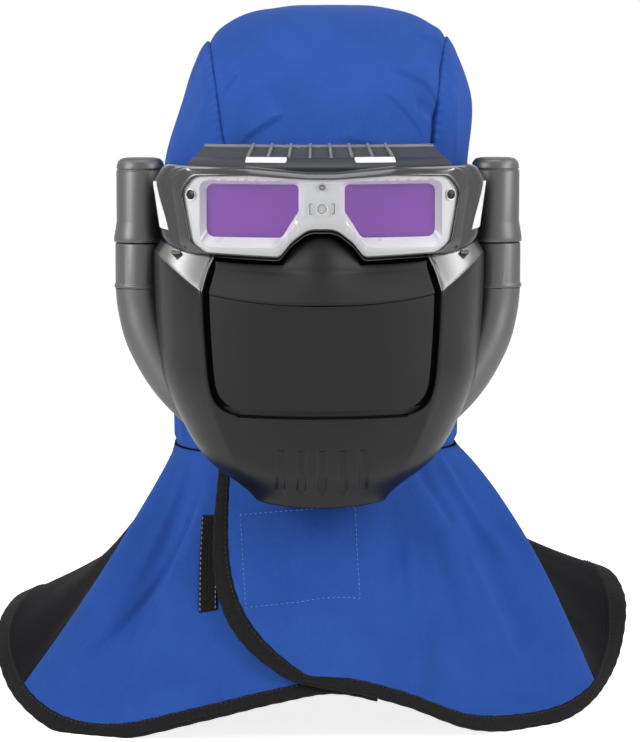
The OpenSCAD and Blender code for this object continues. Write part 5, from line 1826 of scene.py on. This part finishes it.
def make_finishes():
    """All finishes by name."""
    hood = bpy.context.scene.hood_settings
    rigid = bpy.context.scene.goggle_settings
    grain = rigid.grain
    return {
        "blue_cloth": woven_finish("blue_cloth", hood.blue, hood.weave),
        "black_cloth": woven_finish("black_cloth", hood.black, hood.weave, sheen=0.03),
        "tape": ribbed_finish("binding_tape", hood.tape, 0.0016),
        "hooks": ribbed_finish("hook_tape", hood.tape, 0.0022, rough=0.85),
        "webbing": ribbed_finish("strap_webbing", hood.tape, 0.0014),
        "thread": moulded_finish("blue_thread", hood.thread, 0.7, 0.0008),
        "black_thread": moulded_finish("black_thread", hood.tape, 0.7, 0.0008),
        "pale_thread": moulded_finish("pale_thread", hood.pale_thread, 0.7, 0.0008),
        "foam": foam_finish("seal_foam", hood.black),
        "black_plastic": moulded_finish("frame_plastic", rigid.black, 0.17, grain, depth=0.00002, shine=0.9),
        "mask": moulded_finish("mask_plastic", rigid.mask, 0.33, grain, depth=0.00004, shine=0.27),
        "panel": moulded_finish("panel_plastic", shade_of(rigid.mask, 0.9)[:3], 0.5, grain, shine=0.28),
        "band": moulded_finish("band_rubber", shade_of(rigid.mask, 0.9)[:3], 0.5, grain, shine=0.3),
        # Painted highlight: the mask plastic made glossier and a touch paler only for the facets, so that
        # they catch the high lights
        "facet": moulded_finish("facet_painted_highlight", rigid.duct, 0.34, grain, depth=0.00004, shine=1.0, ior=1.75),
        # Painted shade: a near-black, rough copy of the mask plastic for the floor of the recess's side
        # grooves
        "recess": moulded_finish("recess_painted_shade", shade_of(rigid.mask, 0.3)[:3], 0.8, grain, shine=0.05),
        "duct": moulded_finish("duct_plastic", rigid.duct, 0.44, grain, depth=0.00004, shine=1.0, ior=1.58),
        "silver": moulded_finish(
            "bezel_silver", rigid.silver, 0.5, 0.0006, depth=0.00002, tone=0.06, shine=0.2
        ),
        # Painted highlight: a paler, glossier finish for the bezel's window slopes
        "slope_highlight": moulded_finish(
            "bezel_slope_highlight", (0.92, 0.91, 0.93), 0.3, 0.0006, depth=0.00002, tone=0.03, shine=1.0, ior=1.8
        ),
        "purple_glass": coated_glass_finish("filter_glass", rigid.purple),
        "dark_glass": moulded_finish("cell_glass", (0.02, 0.02, 0.03), 0.12, 0.002, depth=0.00001, coat=0.5),
        "clear": clear_finish("clear_cover_edge_reflection"),
        "board": moulded_finish("board_green", (0.02, 0.12, 0.05), 0.45, 0.001),
        "steel": moulded_finish("cell_steel", (0.55, 0.55, 0.56), 0.3, 0.0008, depth=0.00001, metal=1.0),
        "screw": moulded_finish("screw_steel", (0.10, 0.10, 0.11), 0.35, 0.0005, depth=0.00002, metal=0.8),
        "red_plastic": moulded_finish("button_red", (0.45, 0.02, 0.02), 0.4, grain),
        "sensor": moulded_finish("sensor_black", (0.003, 0.003, 0.004), 0.3, 0.002, depth=0.00001, shine=0.3),
        "lamp": moulded_finish("lamp_white", (0.55, 0.55, 0.52), 0.25, 0.001, depth=0.00001, coat=0.8),
        "vent": moulded_finish("vent_plastic", (0.032, 0.038, 0.048), 0.5, grain, shine=0.3),
        # Painted light: a much paler copy of the vent plastic for its raised ribs and beaded rim
        "vent_ribs_painted_light": moulded_finish("vent_ribs_painted_light", (0.18, 0.185, 0.19), 0.45, grain, shine=0.4),
        "brow": moulded_finish("brow_plastic", (0.014, 0.017, 0.024), 0.4, grain, depth=0.00003, shine=0.4),
        "white_pad": moulded_finish("pad_white", rigid.white, 0.7, 0.0007, depth=0.0002, tone=0.05),
        "plate": moulded_finish("plate_white", rigid.white, 0.4, grain, depth=0.00003, tone=0.04),
        "pale_rubber": moulded_finish("pale_rubber", (0.35, 0.34, 0.32), 0.6, grain),
        "ring": moulded_finish("ring_bright", (0.75, 0.76, 0.78), 0.22, 0.0008, depth=0.00001, metal=0.9),
    }


MADE = {}


def finishes():
    """The object's materials, made once."""
    if not MADE:
        MADE.update(make_finishes())
    return MADE


class HEADUNIT_OT_finishes(bpy.types.Operator):
    """Finishes of the solids that stay as they are"""

    bl_idname = "headunit.finishes"
    bl_label = "Rigid finishes"

    def execute(self, context):
        made = finishes()
        for name, finish in PAINTED.items():
            finish_of(NODES[name], made[finish])
        return {"FINISHED"}


# Stage


FLOOR_HALF_W, FLOOR_GLOW = 12.0, 0.84
FILM_W = 36.0


class HEADUNIT_OT_stage(bpy.types.Operator):
    """Pale floor, two tall side lights, two high lights, a top light and the camera"""

    bl_idname = "headunit.stage"
    bl_label = "Stage"

    def execute(self, context):
        scene = context.scene
        look = scene.stage_settings
        scene.view_settings.view_transform = "Standard"
        floor_plate(look.floor)
        world_light(scene, look.ambient)
        for name, place, aim, size, watts, beam in (
            ("side_left", (1.4, -0.9, 0.92), (0.10, 0, 0.30), (0.8, 1.0), look.side_light, 180),
            ("side_right", (-1.4, -0.9, 0.92), (-0.10, 0, 0.30), (0.6, 0.95), look.side_light, 180),
            ("high_left", (1.0, -0.08, 1.25), (0.09, -0.13, 0.32), (0.3, 0.3), look.high_light, 16),
            ("high_right", (-1.0, -0.08, 1.25), (-0.09, -0.13, 0.32), (0.3, 0.3), look.high_light, 16),
            ("top", (0.0, -0.22, 1.6), (0, -0.15, 0.38), (0.9, 0.6), look.top_light, 180),
        ):
            area_light(name, place, aim, size, watts, beam)
        scene.camera = front_camera(scene, look)
        return {"FINISHED"}


def floor_plate(rgb):
    """Wide flat floor under the object."""
    r = FLOOR_HALF_W
    mesh = bpy.data.meshes.new("floor")
    mesh.from_pydata([(-r, -r, 0), (r, -r, 0), (r, r, 0), (-r, r, 0)], [], [(0, 1, 2, 3)])
    return finish_of(link("floor", mesh), floor_finish(rgb))


def front_camera(scene, look):
    """Camera at its distance from the target, turned and raised as the settings say."""
    turn, rise = math.radians(look.azimuth), math.radians(look.elevation)
    back = Vector((math.sin(turn) * math.cos(rise), -math.cos(turn) * math.cos(rise), math.sin(rise)))
    lens = bpy.data.cameras.new("camera")
    lens.lens = look.lens
    lens.sensor_width = FILM_W
    camera = bpy.data.objects.new("camera", lens)
    scene.collection.objects.link(camera)
    camera.location = Vector(look.target) + back * look.distance
    camera.rotation_euler = (-back).to_track_quat("-Z", "Y").to_euler()
    return camera


def seen_by_background(tree):
    """1 for rays that see the background itself: from the camera, in gloss or through glass."""
    path = node(tree, "ShaderNodeLightPath").outputs
    first = math_node(tree, "MAXIMUM", path["Is Camera Ray"], path["Is Glossy Ray"])
    return math_node(tree, "MAXIMUM", first, path["Is Transmission Ray"])


def floor_finish(rgb):
    """Pale floor that reads as white and still takes the object's shadow."""
    made, tree, shader = new_finish("floor_paint")
    place = node(tree, "ShaderNodeTexCoord").outputs["Object"]
    cloud = noise_node(tree, place, 2.0)
    inputs = {
        "Base Color": two_tone(tree, cloud, shade_of(rgb, 0.98), shade_of(rgb, 1.02)),
        "Roughness": 0.9,
        "Emission Color": (1, 1, 1, 1),
        "Emission Strength": math_node(tree, "MULTIPLY", seen_by_background(tree), FLOOR_GLOW),
    }
    set_inputs(tree, shader, inputs)
    return made


def world_light(scene, ambient):
    """White background whose light on the object is weaker than it looks."""
    world = bpy.data.worlds.new("studio")
    scene.world = world
    world.use_nodes = True
    tree = world.node_tree
    strength = spread(tree, seen_by_background(tree), ambient, 1.0, 0.0, 1.0)
    set_inputs(tree, tree.nodes["Background"], {"Color": (1, 1, 1, 1), "Strength": strength})


def area_light(name, place, aim, size, watts, beam):
    """Rectangular light that points at a place, beam in degrees."""
    lamp = bpy.data.lights.new(name, "AREA")
    lamp.shape = "RECTANGLE"
    lamp.size, lamp.size_y = size
    lamp.energy = watts
    lamp.spread = math.radians(beam)
    holder = bpy.data.objects.new(name, lamp)
    bpy.context.scene.collection.objects.link(holder)
    holder.location = place
    holder.rotation_euler = (Vector(aim) - Vector(place)).to_track_quat("-Z", "Y").to_euler()


# Panel and run


class HEADUNIT_PT_panel(bpy.types.Panel):
    """Lists the steps that dress the head unit"""

    bl_idname = "HEADUNIT_PT_panel"
    bl_label = "Head unit"
    bl_space_type = "VIEW_3D"
    bl_region_type = "UI"
    bl_category = "Head unit"

    def draw(self, context):
        for step in STEPS:
            self.layout.operator(step.bl_idname)
        for name in SETTINGS:
            group = getattr(context.scene, name)
            box = self.layout.box()
            for key in group.__annotations__:
                box.prop(group, key)


STEPS = (
    HEADUNIT_OT_stage,
    HEADUNIT_OT_finishes,
    HEADUNIT_OT_mouldings,
    HEADUNIT_OT_goggles,
    HEADUNIT_OT_mask,
    HEADUNIT_OT_ducts,
    HEADUNIT_OT_crown,
    HEADUNIT_OT_neck,
    HEADUNIT_OT_bib,
    HEADUNIT_OT_tape,
    HEADUNIT_OT_straps,
    HEADUNIT_OT_seal,
    HEADUNIT_OT_stitches,
)
SETTINGS = {"hood_settings": HoodSettings, "goggle_settings": GoggleSettings, "stage_settings": StageSettings}
CLASSES = (*SETTINGS.values(), *STEPS, HEADUNIT_PT_panel)


def register():
    for kind in CLASSES:
        bpy.utils.register_class(kind)
    for name, kind in SETTINGS.items():
        setattr(bpy.types.Scene, name, PointerProperty(type=kind))


def unregister():
    for name in SETTINGS:
        delattr(bpy.types.Scene, name)
    for kind in reversed(CLASSES):
        bpy.utils.unregister_class(kind)


def main():
    register()
    for step in STEPS:
        group, name = step.bl_idname.split(".")
        getattr(getattr(bpy.ops, group), name)()


if __name__ == "__main__":
    main()
